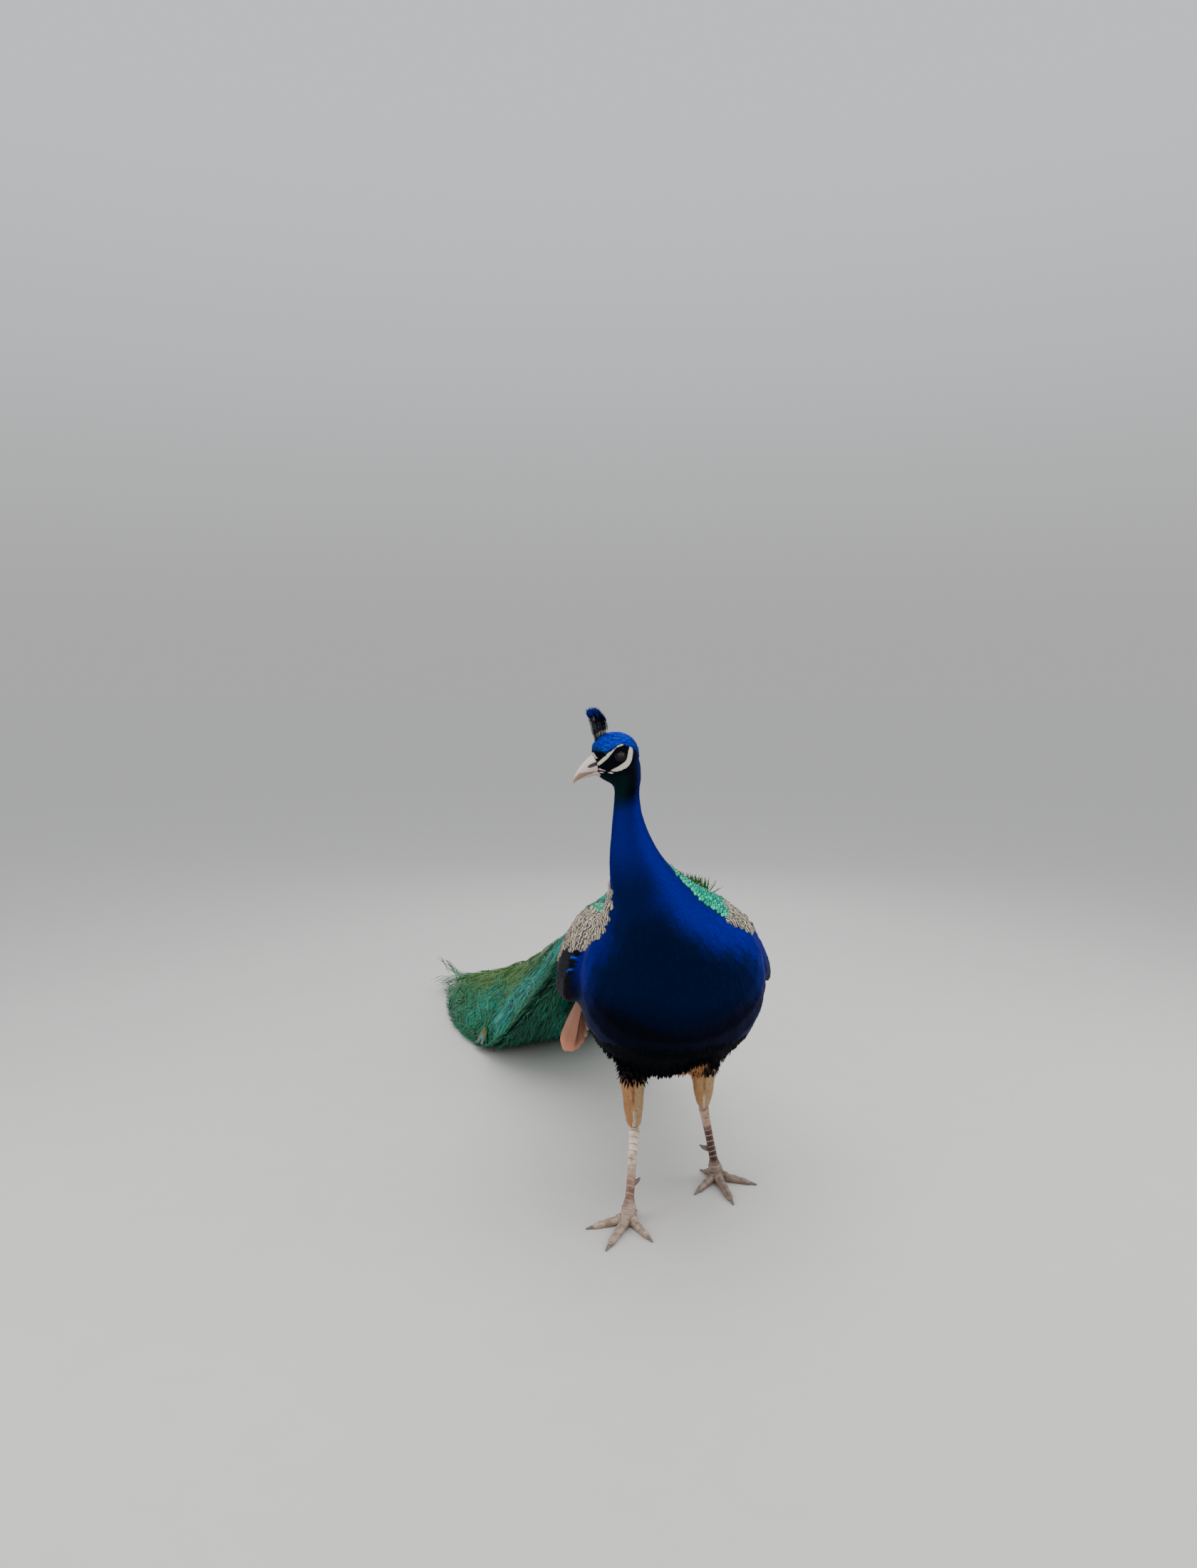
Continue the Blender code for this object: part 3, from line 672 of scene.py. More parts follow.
def grow(roots, normals, lie, length, width, rows=4, cols=5, lift=(0.0006, 0.003), curl=0.0, cup=0.25,
         point=0.3, taper=0.6, notch=0.0, free=0.0, fall=0.0, ruffle=0.0, sway=0.0, seed=1,
         ground=skinGround):
    # one vane for each root, laid along the ground. Returns pieces x rows x columns places.
    rng = np.random.default_rng(seed)
    count = len(roots)
    length = np.broadcast_to(length, count) * rng.uniform(0.86, 1.14, count)
    width = np.broadcast_to(width, count) * rng.uniform(0.9, 1.1, count)
    lie = unit(lie + rng.normal(size=(count, 3)) * (0.06 + ruffle))
    on, normal = roots, normals
    ahead = unit(lie - normal * (lie * normal).sum(1, keepdims=True))
    across = np.linspace(-1, 1, cols)
    jag = notch * np.where(np.arange(cols) % 2, 1.0, -1.0)[None] * rng.uniform(0.3, 1.3, (count, cols))
    luck = rng.uniform(0.6, 1.5, count)
    phase = rng.uniform(0, 6.28, (count, 1))
    grid = np.empty((count, rows, cols, 3))
    step = (length / (rows - 1))[:, None]
    widest = 0.55     # where along the feather it starts to narrow
    for r in range(rows):
        u = r / (rows - 1)
        side = np.cross(ahead, normal)
        bulge = 1 - (1 - taper) * ((u - widest) / 0.45) ** 2
        if u < widest:
            bulge = 0.5 + 0.5 * np.sin(np.pi * min(u * 0.95, 0.5))
        half = (width * bulge / 2)[:, None, None]
        height = lift[0] + lift[1] * u ** 1.4 * luck + curl * length * u ** 3
        back = point * width[:, None] * across ** 2 * u ** 2 - jag * length[:, None] * (u == 1)
        grid[:, r] = (on[:, None] + normal[:, None] * height[:, None, None]
                      + side[:, None] * across[:, None] * half
                      - ahead[:, None] * back[..., None]
                      - normal[:, None] * (cup * half) * (across ** 2)[:, None])
        if r < rows - 1:
            ahead = unit(ahead + np.array([0, 0, -1.0]) * fall * u)
            ahead = unit(ahead + side * sway * np.sin(phase + 7 * u))
            onward = on + ahead * step
            spot, found, _ = nearest(ground, onward)
            hold = 1 - free * u
            on = onward * (1 - hold) + spot * hold
            normal = unit(normal * (0.35 + 0.65 * (1 - hold)) + found * 0.65 * hold)
            ahead = unit(ahead - normal * (ahead * normal).sum(1, keepdims=True) * hold)
    return grid


# Colours and finishes of the plumage.

def shade(r, g, b):
    # a colour as the eye names it, 0 to 255, turned into light
    c = np.array([r, g, b]) / 255
    return np.where(c <= 0.04045, c / 12.92, ((c + 0.055) / 1.055) ** 2.4)


tone = {
    "royal": shade(1, 12, 136), "rimSheenViolet": shade(18, 8, 116), "facingShadeTeal": shade(0, 20, 48),
    "black": shade(3, 4, 8), "azure": shade(0, 62, 222), "forehead": shade(6, 84, 122),
    "nape": shade(14, 36, 140), "face": shade(5, 9, 11), "throat": shade(4, 30, 30),
    "bareSkin": shade(216, 215, 194), "cere": shade(206, 190, 184), "eyeSkin": shade(34, 26, 36),
    "scaleGreen": shade(6, 220, 176), "scaleGold": shade(96, 140, 60), "scaleEdge": shade(4, 40, 44),
    "spikeGreen": shade(24, 70, 38),
    "cream": shade(208, 195, 170), "tan": shade(158, 134, 98),
    "darkCovert": shade(3, 4, 6), "covertBlueSheen": shade(16, 70, 205),
    "chestnut": shade(214, 136, 102), "chestnutEnd": shade(92, 62, 50),
    "buff": shade(208, 172, 128), "orangeBuff": shade(202, 142, 92), "paleBuff": shade(210, 176, 132),
    "tendon": shade(236, 222, 200), "tendonShadow": shade(110, 78, 52), "hip": shade(40, 28, 22),
    "tailBrown": shade(70, 56, 44),
}


def blueCoat(places, normals):
    # the blue and black body plumage at each place, with painted shade and sheen: dark teal where it faces
    # the front, violet at the rims
    x, y, height = places.T
    row = flowLine(places)[1]
    # painted shade and sheen: how squarely the surface faces the front sets violet rims and a dark teal
    # centre
    facing = -normals[:, 1] * 0.97 - normals[:, 0] * 0.17 + normals[:, 2] * 0.10
    wave = ripple(places, 38, 11)
    colour = blend(tone["royal"], tone["rimSheenViolet"], 0.7 * ease(0.60, 0.10, facing + 0.1 * wave))
    lower = ease(0.58, 0.46, height)
    centre = ease(0.62 - 0.30 * lower, 0.92 - 0.12 * lower, facing + 0.07 * wave)
    centre = centre * ease(13.0, 9.0, row) * ease(0.66, 0.57, height)
    # painted shade: the neck turns dark teal where it faces the front and the bird's right
    aside = -normals[:, 1] * 0.90 - normals[:, 0] * 0.42
    neck = ease(0.40, 0.92, aside + 0.12 * wave) * ease(6.5, 8.5, row)
    neck = neck * (0.85 - 0.50 * ease(0.62, 0.70, height))
    colour = blend(colour, tone["facingShadeTeal"], np.maximum(0.95 * centre, neck))
    edge = 0.412 + 0.050 * np.clip(np.abs(x + 0.03) / 0.17, 0, 1.2) ** 2 + 0.05 * ease(-0.06, 0.06, y)
    colour = blend(colour, tone["black"], ease(edge + 0.040, edge - 0.030, height + 0.012 * wave))
    colour = blend(colour, tone["spikeGreen"] * 0.6, ease(0.10, 0.18, y))
    h, side, z = headLocal(places)
    faceTone = blend(tone["face"], tone["nape"] * 0.35, ease(-0.019, -0.032, h))
    faceTone = blend(faceTone, tone["throat"], ease(-0.022, -0.040, z) * ease(-0.02, 0.0, h))
    crown = ease(-0.0010, 0.0012, z - np.interp(h, *crownLine.T))
    crownTone = blend(tone["azure"], tone["nape"], ease(-0.006, -0.026, h))
    crownTone = blend(crownTone, tone["forehead"], 0.8 * ease(0.018, 0.032, h) * ease(0.014, 0.004, z))
    # partly painted highlight and shade: lighter streaks on the clumped crown feathers, darker ones in the
    # gaps between them
    streak = ripple(np.stack([h * 0.15, side, z], -1), 1500, 17)
    faceTone = blend(faceTone, crownTone * np.clip(0.85 + 0.55 * streak, 0.25, 1.4)[:, None], crown)
    front = 0.012 * ease(-0.030, 0.000, h)
    return blend(colour, faceTone, (fromHead(places) < 0.13) * ease(-0.084, -0.048, z + front + 0.006 * wave))


def wholeCoat(places, normals):
    # every marking of the coat, for the skin itself, darkened as painted shade in the gaps between feathers
    colour = blend(blueCoat(places, normals), tone["scaleEdge"] * 1.5, backShare(places, normals))
    wing = wingShare(places)
    # painted shade for the gaps between feathers: tan at half under the wings, everything at 0.8
    colour = blend(colour, tone["tan"] * 0.5, wing)
    colour = blend(colour, tone["darkCovert"], wing * darkWing(places))
    colour = blend(colour, tone["buff"], legShare(places)) * 0.8
    h, side, z = headLocal(places)
    lens = np.hypot((h - 0.0024) / 0.0125, (z + 0.0024) / 0.0100)
    near = (np.abs(side) > 0.006) * (fromHead(places) < 0.05)
    colour = blend(colour, tone["eyeSkin"], near * ease(1.05, 0.85, lens))
    bare = bareFace(places)
    blotch = 1 - 0.14 * ease(0.0, 1.2, ripple(places, 1700, 4))
    colour = blend(colour, tone["bareSkin"] * blotch[:, None], bare)
    root = np.max([lineMask(line, h, z, 0.0006) for line in (*gapeLines, cereLine)], axis=0)
    return blend(colour, tone["cere"], root * bare)


def plumageMaterial(name, barbCount=20.0, slant=0.8, depth=0.4, metallic=0.5, roughness=0.42, sheen=0.1,
                    tint=(0.1, 0.2, 1.0), relief=0.3, spread=0.22, specular=0.25, rootShade=0.4):
    material = newMaterial(name)
    height, shaft, strand, _, along = barbs(barbCount, slant)
    dim = (1.0 - (1.0 - strand) * depth) * (fact("Luck") * spread + (1.0 - spread / 2))
    # painted shade towards the root, where each feather lies under the ones before it
    dim = dim * (stepUp(0.0, 0.55, along) * rootShade + (1.0 - rootShade)) * (1.0 - shaft * 0.15)
    return finished(material, {
        "Base Color": scaledColour(toneHere(), dim), "Normal": bump(height, relief, 0.0004),
        "Metallic": metallic, "Roughness": roughness, "Sheen Weight": sheen, "Sheen Roughness": 0.4,
        "Sheen Tint": tint, "Specular IOR Level": specular,
        "Specular Tint": [0.4 + 0.6 * c for c in tint]})


velvet = plumageMaterial("velvetPlumage", barbCount=14, depth=0.3, roughness=0.50, sheen=0.012,
                         specular=0.05, rootShade=0.10, spread=0.14, relief=0.2)
glossDark = plumageMaterial("darkGloss", barbCount=24, metallic=0.1, roughness=0.5, sheen=0.0, specular=0.05)
crownVelvet = plumageMaterial("crownVelvet", barbCount=8, roughness=0.36, rootShade=0.75, spread=0.8)
faceVelvet = plumageMaterial("faceVelvet", barbCount=8, depth=0.3, metallic=0.4, roughness=0.50, sheen=0.025,
                             specular=0.10, rootShade=0.15, spread=0.14)
darkFluff = plumageMaterial("darkFluff", barbCount=12, metallic=0.0, roughness=0.65, sheen=0.0, specular=0.03)
softFluff = plumageMaterial("softFluff", barbCount=10, metallic=0.0, roughness=0.75, sheen=0.15,
                            tint=(1.0, 0.8, 0.6), rootShade=0.15)
flightHorn = plumageMaterial("flightFeather", barbCount=60, slant=1.4, depth=0.25, metallic=0.0,
                             roughness=0.5, tint=(1.0, 0.8, 0.6), relief=0.25)


def skinMaterial():
    material = newMaterial("skinUnderCoat")
    blotched = mixed(noise(140.0) * 0.35, toneHere(), (0.42, 0.30, 0.28), "MULTIPLY")
    return finished(material, {
        "Base Color": blotched, "Normal": bump(noise(900.0, 4.0), 0.7, 0.0006), "Roughness": 0.70,
        "Specular IOR Level": 0.10, "Subsurface Weight": 0.03, "Subsurface Radius": (0.003, 0.0015, 0.001)})


addTone(skin.data, wholeCoat(skinGround["places"], skinGround["normals"]))
skin.data.materials.append(skinMaterial())
keepPiece(skin, "blue_plumage", *skinPlan["nodes"])


# Small feathers of the body.

smallCoats = {
    "crownFeathers": {"spacing": 0.00125, "length": 0.0082, "width": 0.0012, "rows": 5, "cols": 3,
                      "lift": (0.0003, 0.0012), "curl": 0.05, "cup": 0.5, "taper": 0.15, "ruffle": 0.14},
    "faceFeathers": {"spacing": 0.0012, "length": 0.0034, "width": 0.0015, "rows": 3, "cols": 3,
                     "lift": (0.0002, 0.0005), "taper": 0.4, "ruffle": 0.1},
    "neckFeathers": {"spacing": 0.0025, "length": 0.0125, "width": 0.0046, "lift": (0.0003, 0.0004),
                     "notch": 0.07, "cup": 0.06, "taper": 0.62, "ruffle": 0.05},
    "breastFeathers": {"spacing": 0.0052, "length": 0.0230, "width": 0.0096, "lift": (0.0004, 0.0006),
                       "notch": 0.07, "cup": 0.06, "taper": 0.62, "ruffle": 0.05},
    "bellyFeathers": {"spacing": 0.0044, "length": 0.0280, "width": 0.0046, "rows": 5, "cols": 3,
                      "lift": (0.0005, 0.0026), "ruffle": 0.10, "taper": 0.15},
    "bellySkirt": {"spacing": 0.0052, "length": 0.0430, "width": 0.0034, "rows": 6, "cols": 3,
                   "lift": (0.0005, 0.0070), "free": 0.8, "fall": 0.7, "ruffle": 0.22, "taper": 0.1},
    "flankFlap": {"spacing": 0.0036, "length": 0.0150, "width": 0.0030, "rows": 5, "cols": 3,
                  "lift": (0.0005, 0.0030), "free": 0.9, "fall": 0.9, "taper": 0.3, "ruffle": 0.08,
                  "seed": 10},
    "thighFeathers": {"spacing": 0.0021, "length": 0.0085, "width": 0.0021, "rows": 3, "cols": 3,
                      "lift": (0.0012, 0.0016), "taper": 0.35, "cup": 0.1, "ruffle": 0.07},
    "hipFeathers": {"spacing": 0.0046, "length": 0.0170, "width": 0.0036, "rows": 5, "cols": 3,
                    "lift": (0.0015, 0.0040), "free": 0.5, "fall": 0.5, "ruffle": 0.25, "taper": 0.1,
                    "seed": 9},
}


def coatPiece(name, mask, material, slot="blue_plumage", tones=blueCoat, longer=None, wider=None):
    # One piece of small feathers spread over a part of the skin. longer and wider give shares at the roots.
    shape = dict(smallCoats[name])
    spacing, length, width = (shape.pop(label) for label in ("spacing", "length", "width"))
    seed = shape.setdefault("seed", 1)
    roots, normals, bake = scatter(skinGround, mask, spacing, seed)
    size = length * longer(roots) if longer else np.full(len(roots), length)
    lie = lieAt(roots, normals)
    clear = bareFace(roots + lie * size[:, None] * 0.55) < 0.4     # nothing grows over the bare patches
    roots, normals, bake, size, lie = (v[clear] for v in (roots, normals, bake, size, lie))
    size = size * (1 - 0.45 * (bareFace(roots + lie * size[:, None]) > 0.3))
    broad = width * wider(roots) if wider else width
    grids = grow(roots, normals, lie, size, broad, **shape)
    luck = np.random.default_rng(seed + 50).random(len(roots))
    lay(name, grids, bake, tones(roots, normals), luck, material, slot)


def thighTones(places, normals):
    # black above, orange buff on one side, pale on the other, a tendon showing down the front
    x, _, z = places.T
    wave = ripple(places, 70, 18)
    colour = blend(tone["orangeBuff"], tone["paleBuff"], ease(-0.5, 0.6, normals[:, 0] + 0.2 * wave))
    colour = blend(colour, tone["buff"], 0.3 + 0.3 * wave)
    for leg in legs.values():
        line = leg["thigh"][::-1]
        away = places[:, :2] - np.stack([np.interp(z, line[:, 2], line[:, k]) for k in (0, 1)], -1)
        seam = ease(0.0030, 0.0012, np.abs(away @ np.array([0.985, -0.174])))
        seam = seam * (np.hypot(*away.T) < 0.04) * (normals[:, 1] < -0.5)
        colour = blend(colour, tone["tendon"], 0.8 * seam * ease(0.210, 0.198, z))
        colour = blend(colour, tone["tendonShadow"], 0.6 * seam * ease(0.212, 0.224, z))
    return blend(colour, tone["black"], ease(0.262, 0.272, z - 0.006 * (x > -0.02) + 0.004 * wave))


def bellyTones(places, normals):
    # the blue coat with a buff flap on the inner side of the left thigh
    x, y, z = places.T
    flap = ease(-0.022, -0.016, x - 0.6 * (z - 0.262)) * ease(0.034, 0.024, x)
    return blend(blueCoat(places, normals), tone["orangeBuff"], flap * ease(0.304, 0.294, z) * (y < 0.06))


def overThighs(right, left):
    # how much of its length a belly feather keeps where it falls over the thighs
    def share(p):
        near = [ease(0.080, 0.040, np.hypot(*(p[:, :2] - leg["thigh"][1, :2]).T)) for leg in legs.values()]
        fadeLeft = ease(0.05, 0.03, p[:, 0])
        inner = 0.82 * ease(-0.052, -0.024, p[:, 0]) * fadeLeft * ease(0.315, 0.300, p[:, 2])
        above = 0.70 * ease(-0.026, -0.010, p[:, 0]) * fadeLeft * ease(0.340, 0.322, p[:, 2])
        thighs = np.maximum(near[0] * right, near[1] * left) * ease(0.345, 0.310, p[:, 2])
        return 1 - np.maximum(thighs, np.maximum(inner, above))
    return share


def growBody():
    h, _, z = headLocal(faceMiddles)
    x, y, height = faceMiddles.T
    head = faceHead > 0.5
    feathered = (1 - faceBare) * (np.hypot((h - 0.0018) / 0.0105, (z + 0.0020) / 0.0082) > 1)
    crown = head & (z > np.interp(h, *crownLine.T))
    coatPiece("crownFeathers", crown * feathered, crownVelvet)
    collar = z + 0.010 * ease(-0.030, 0.000, h) + 0.0035 * ripple(faceMiddles, 160, 20)
    coatPiece("faceFeathers", (head & ~crown & (collar > -0.048)) * feathered, faceVelvet)
    free = (1 - np.minimum(faceWing + faceBack, 1)) * (1 - faceLeg)
    aboveBreast = faceRow > coatEdges["neckRow"]
    neck = aboveBreast & ~(head & (collar > -0.044))
    coatPiece("neckFeathers", neck * free, velvet,
              longer=lambda p: 0.6 + 0.5 * ease(0.78, 0.60, p[:, 2]),
              wider=lambda p: 0.65 + 0.45 * ease(0.78, 0.60, p[:, 2]))
    trunk = ~aboveBreast & ~head
    coatPiece("breastFeathers", (trunk & (height > 0.338)) * free, velvet)
    coatPiece("bellyFeathers", (trunk & (height <= 0.350)) * free, darkFluff, tones=bellyTones,
              longer=overThighs(0.5, 0.7))
    coatPiece("bellySkirt", ((height <= 0.315) & (y < 0.20)) * free, darkFluff, tones=bellyTones,
              longer=overThighs(0.66, 0.82))
    flap = (np.abs(x - 0.004) < 0.020) & (height < 0.275) & (np.abs(y + 0.06) < 0.05)
    coatPiece("flankFlap", flap.astype(float), softFluff, "buff_plumage", tones=bellyTones)
    coatPiece("thighFeathers", faceLeg * (height < 0.30), softFluff, "buff_plumage", tones=thighTones,
              longer=lambda p: 0.8 + 0.2 * ease(0.18, 0.26, p[:, 2]))
    # dark loose feathers over the top of the left thigh
    hip = (x > -0.01) * ease(0.262, 0.272, height) * (height < 0.30) * faceLeg
    coatPiece("hipFeathers", hip, softFluff, "brown_plumage", tones=lambda places, normals: tone["hip"])


growBody()


# Back and wings.

def mottledMaterial(name, bars, barWidth, wobble):
    # cream or tan feathers crossed by dark, uneven bars
    material = newMaterial(name)
    height, _, strand, across, along = barbs(26.0, 0.9)
    luck = fact("Luck")
    phase = along * (luck * (bars * 0.5) + bars * 0.8) + noise(110.0) * wobble
    phase = phase - abs(across - 0.5) + luck * 3.7
    wave = maths("SINE", phase * 6.283) * 0.5 + 0.5
    limit = (noise(60.0, 2.0) - 0.5) * 0.9 + (1.0 - barWidth)
    bar = stepUp(limit - 0.14, limit + 0.14, wave)
    base = mixed(strand * 0.25, toneHere(), (0.35, 0.28, 0.2), "MULTIPLY")
    painted = mixed(bar, base, (0.014, 0.011, 0.010))
    # painted shade towards the root, where each feather lies under the ones before it
    root = stepUp(0.0, 0.5, along) * 0.6 + 0.4
    return finished(material, {"Base Color": scaledColour(painted, root), "Normal": bump(height, 0.3, 0.0004),
                               "Roughness": 0.62, "Sheen Weight": 0.08})


def scaleMaterial():
    # glossy back feathers: bright heart, golden arc, dark rounded rim
    material = newMaterial("scaledBack")
    height, _, strand, across, along = barbs(22.0, 0.9)
    reach = farFrom(across - 0.5, (along - 0.62) * 1.25) + noise(260.0, 2.0) * 0.12
    arc = stepUp(0.30, 0.37, reach) * (1.0 - stepUp(0.40, 0.46, reach))
    bright = mixed(arc * 0.15, toneHere(), tone["scaleGold"])
    painted = mixed(stepUp(0.38, 0.56, reach), bright, tone["scaleEdge"])
    lit = mixed(strand * 0.5, painted, (0.25, 0.35, 0.35), "MULTIPLY")
    return finished(material, {"Base Color": lit, "Normal": bump(height, 0.4, 0.0004),
                               "Metallic": 0.82, "Roughness": 0.36})


barred = mottledMaterial("barredCoverts", 3.0, 0.58, 2.0)
mottled = mottledMaterial("mottledFlight", 9.0, 0.55, 2.2)
scaled = scaleMaterial()
backPlan = {
    "backScalesNear": {"spacing": 0.0046, "length": 0.0118, "width": 0.0072},
    "backScales": {"spacing": 0.0078, "length": 0.0210, "width": 0.0130},
    "nearEnd": -0.045,
    "spikes": {"spacing": 0.0062, "length": 0.0420, "width": 0.0030},
}
wingPlan = {
    "rows": [  # y, out from the midline, height, half length of the section down the side, half thickness
        (-0.118, 0.122, 0.480, 0.022, 0.010), (-0.090, 0.136, 0.480, 0.056, 0.022),
        (-0.035, 0.145, 0.480, 0.088, 0.032), (0.045, 0.142, 0.476, 0.098, 0.036),
        (0.130, 0.132, 0.463, 0.092, 0.034), (0.215, 0.117, 0.445, 0.074, 0.028),
        (0.295, 0.099, 0.424, 0.048, 0.019), (0.365, 0.084, 0.406, 0.020, 0.009)],
    "lean": {"left": 31.0, "right": 24.0},
    "length": 0.0255, "width": 0.0140, "barredSpacing": 0.0076, "darkSpacing": 0.0082,
}
flightPlan = {
    "rows": 19, "primaries": 8, "primaryWidths": (0.014, 0.022, 0.030, 0.034, 0.033),
    # number, rows of the wing table from and to, share of its height from and to, width, depth in the wing
    "secondaries": (12, 1.9, 4.4, -0.85, -0.30, 0.026, 0.0145),
    "tertials": (7, 3.0, 4.4, -0.10, 0.70, 0.030, 0.0070),
}


def wingPlace(label, t, v):
    # a place on the outer face of a folded wing, and the way out from it
    side, out, drop = wings[label]
    y, x, z, half, thick = np.moveaxis(between(wingPlan["rows"], t), -1, 0)
    lean = math.radians(wingPlan["lean"][label])
    axis = np.array([-side * math.sin(lean), 0, math.cos(lean)])
    across = np.array([side * math.cos(lean), 0, math.sin(lean)])
    swell = np.sqrt(np.clip(1 - v ** 2, 0, 1))
    centre = joined(side * (x + out), y, z - drop)
    place = centre + axis * (half * v)[..., None] + across * (thick * swell)[..., None]
    return place, unit(axis * (v / half)[..., None] + across * (swell / thick)[..., None])


def growBack():
    near = faceMiddles[:, 1] + 0.014 * ripple(faceMiddles, 45, 19) < backPlan["nearEnd"]
    for name, mask in (("backScalesNear", near), ("backScales", ~near)):
        plan = backPlan[name]
        spot, normals, bake = scatter(skinGround, faceBack * mask, plan["spacing"], 21)
        luck = np.random.default_rng(23).random(len(spot))
        grids = grow(spot, normals, (0, 1.0, -0.05), plan["length"], plan["width"], rows=5, cols=6,
                     lift=(0.0008, 0.0036), cup=0.3, point=0.35, taper=0.75, notch=0.02, seed=22)
        grids[..., 2] += 0.026 * ease(0.07, 0.19, grids[..., 1]) * ease(0.10, 0.05, np.abs(grids[..., 0]))
        gold = 0.75 * ease(-0.05, 0.14, spot[:, 1] + 0.04 * luck)
        bright = (0.60 + 0.70 * luck) * (1 - 0.35 * ease(-0.06, 0.10, spot[:, 1]))
        green = blend(tone["scaleGreen"], tone["scaleGold"], gold) * bright[:, None]
        lay(name, grids, bake, green, luck, scaled, "green_plumage")

    # dark green feathers standing up out of the middle of the back
    plan = backPlan["spikes"]
    x, y, _ = faceMiddles.T
    patch = faceBack * ease(1.15, 0.45, np.hypot((x - 0.012) / 0.066, (y - 0.075) / 0.070))
    spot, normals, bake = scatter(skinGround, patch * ease(0.078, 0.055, x), plan["spacing"], 24)
    luck = np.random.default_rng(25).random(len(spot))
    grids = grow(spot, normals, (0.1, 1.0, 0.25), plan["length"], plan["width"], rows=6, cols=3,
                 lift=(0.0030, 0.0160), curl=0.30, free=0.9, taper=0.1, ruffle=0.30, sway=0.10, seed=26)
    green = blend(tone["spikeGreen"], tone["scaleGold"] * 0.6, 0.6 * luck)
    lay("backSpikes", grids, bake, green, luck, darkFluff, "green_plumage")


def growCoverts(label):
    plan = wingPlan
    side, _, drop = wings[label]
    mask = faceWing * (side * (faceMiddles[:, 0] + 0.03) > 0)
    dark = darkWing(faceMiddles)
    for kind, zone, material, seed in (("Barred", 1 - dark, barred, 31), ("Dark", dark, glossDark, 32)):
        spacing = plan[kind.lower() + "Spacing"]
        spot, normals, bake = scatter(skinGround, mask * zone, spacing, seed + (side > 0) * 7)
        luck = np.random.default_rng(seed).random(len(spot))
        front = ease(-0.16, 0.02, spot[:, 1])
        far = ease(-0.02, 0.16, spot[:, 1])
        low = ease(0.55, 0.45, spot[:, 2] + drop)
        lie = np.array([0, 1.0, -0.22]) - np.array([0, 0, 0.3]) * low[:, None]
        size = plan["length"] * (0.62 + 0.28 * front + 0.30 * far)
        wide = plan["width"] * (0.76 + 0.16 * front + 0.20 * far)
        if kind == "Barred":
            fade = np.clip(0.9 * far + 0.55 * low + 0.35 * (luck - 0.5), 0, 1)
            colours = blend(tone["cream"], tone["tan"], fade)
            lift, notch, ruffle = (0.0012, 0.0036), 0.03, 0.08
        else:
            size, wide = size * 1.25, wide * 0.9
            # painted sheen: a few dark coverts near the front turn azure, as glints on their gloss
            azure = (luck > 0.82) * ease(-0.040, -0.056, spot[:, 1] + 0.004 * ripple(spot, 90, 7))
            colours = blend(tone["darkCovert"], tone["covertBlueSheen"], azure * 0.9)
            lift, notch, ruffle = (0.0008, 0.0014), 0.02, 0.04
        grids = grow(spot, normals, lie, size, wide, rows=5, cols=6, cup=0.35, point=0.35, taper=0.7,
                     lift=lift, notch=notch, ruffle=ruffle, seed=33)
        lay("coverts%s_%s" % (kind, label), grids, bake, colours, luck, material, "barred_plumage")


def blades(name, paths, normals, widths, bake, tones, material, slot, *nodes, cols=7, cup=0.10, point=0.5,
           seed=1):
    # long stiff feathers, each along its own path: pieces x rows x 3
    count, rows, _ = paths.shape
    ahead = unit(np.gradient(paths, axis=1))
    normals = unit(normals - ahead * (normals * ahead).sum(-1, keepdims=True))
    side = np.cross(ahead, normals)
    across = np.linspace(-1, 1, cols)
    u = np.linspace(0, 1, rows)[None, :, None]
    half = widths[..., None] / 2
    rng = np.random.default_rng(seed)
    fray = half * 0.05 * rng.normal(size=(count, rows, cols)) * (np.abs(across) > 0.9)
    back = point * half * across ** 2 * u ** 4 + fray
    grids = (paths[:, :, None] + side[:, :, None] * (across * half)[..., None]
             - ahead[:, :, None] * back[..., None]
             - normals[:, :, None] * (cup * half * across ** 2)[..., None])
    lay(name, grids, bake, tones, rng.random(count), material, slot, *nodes)


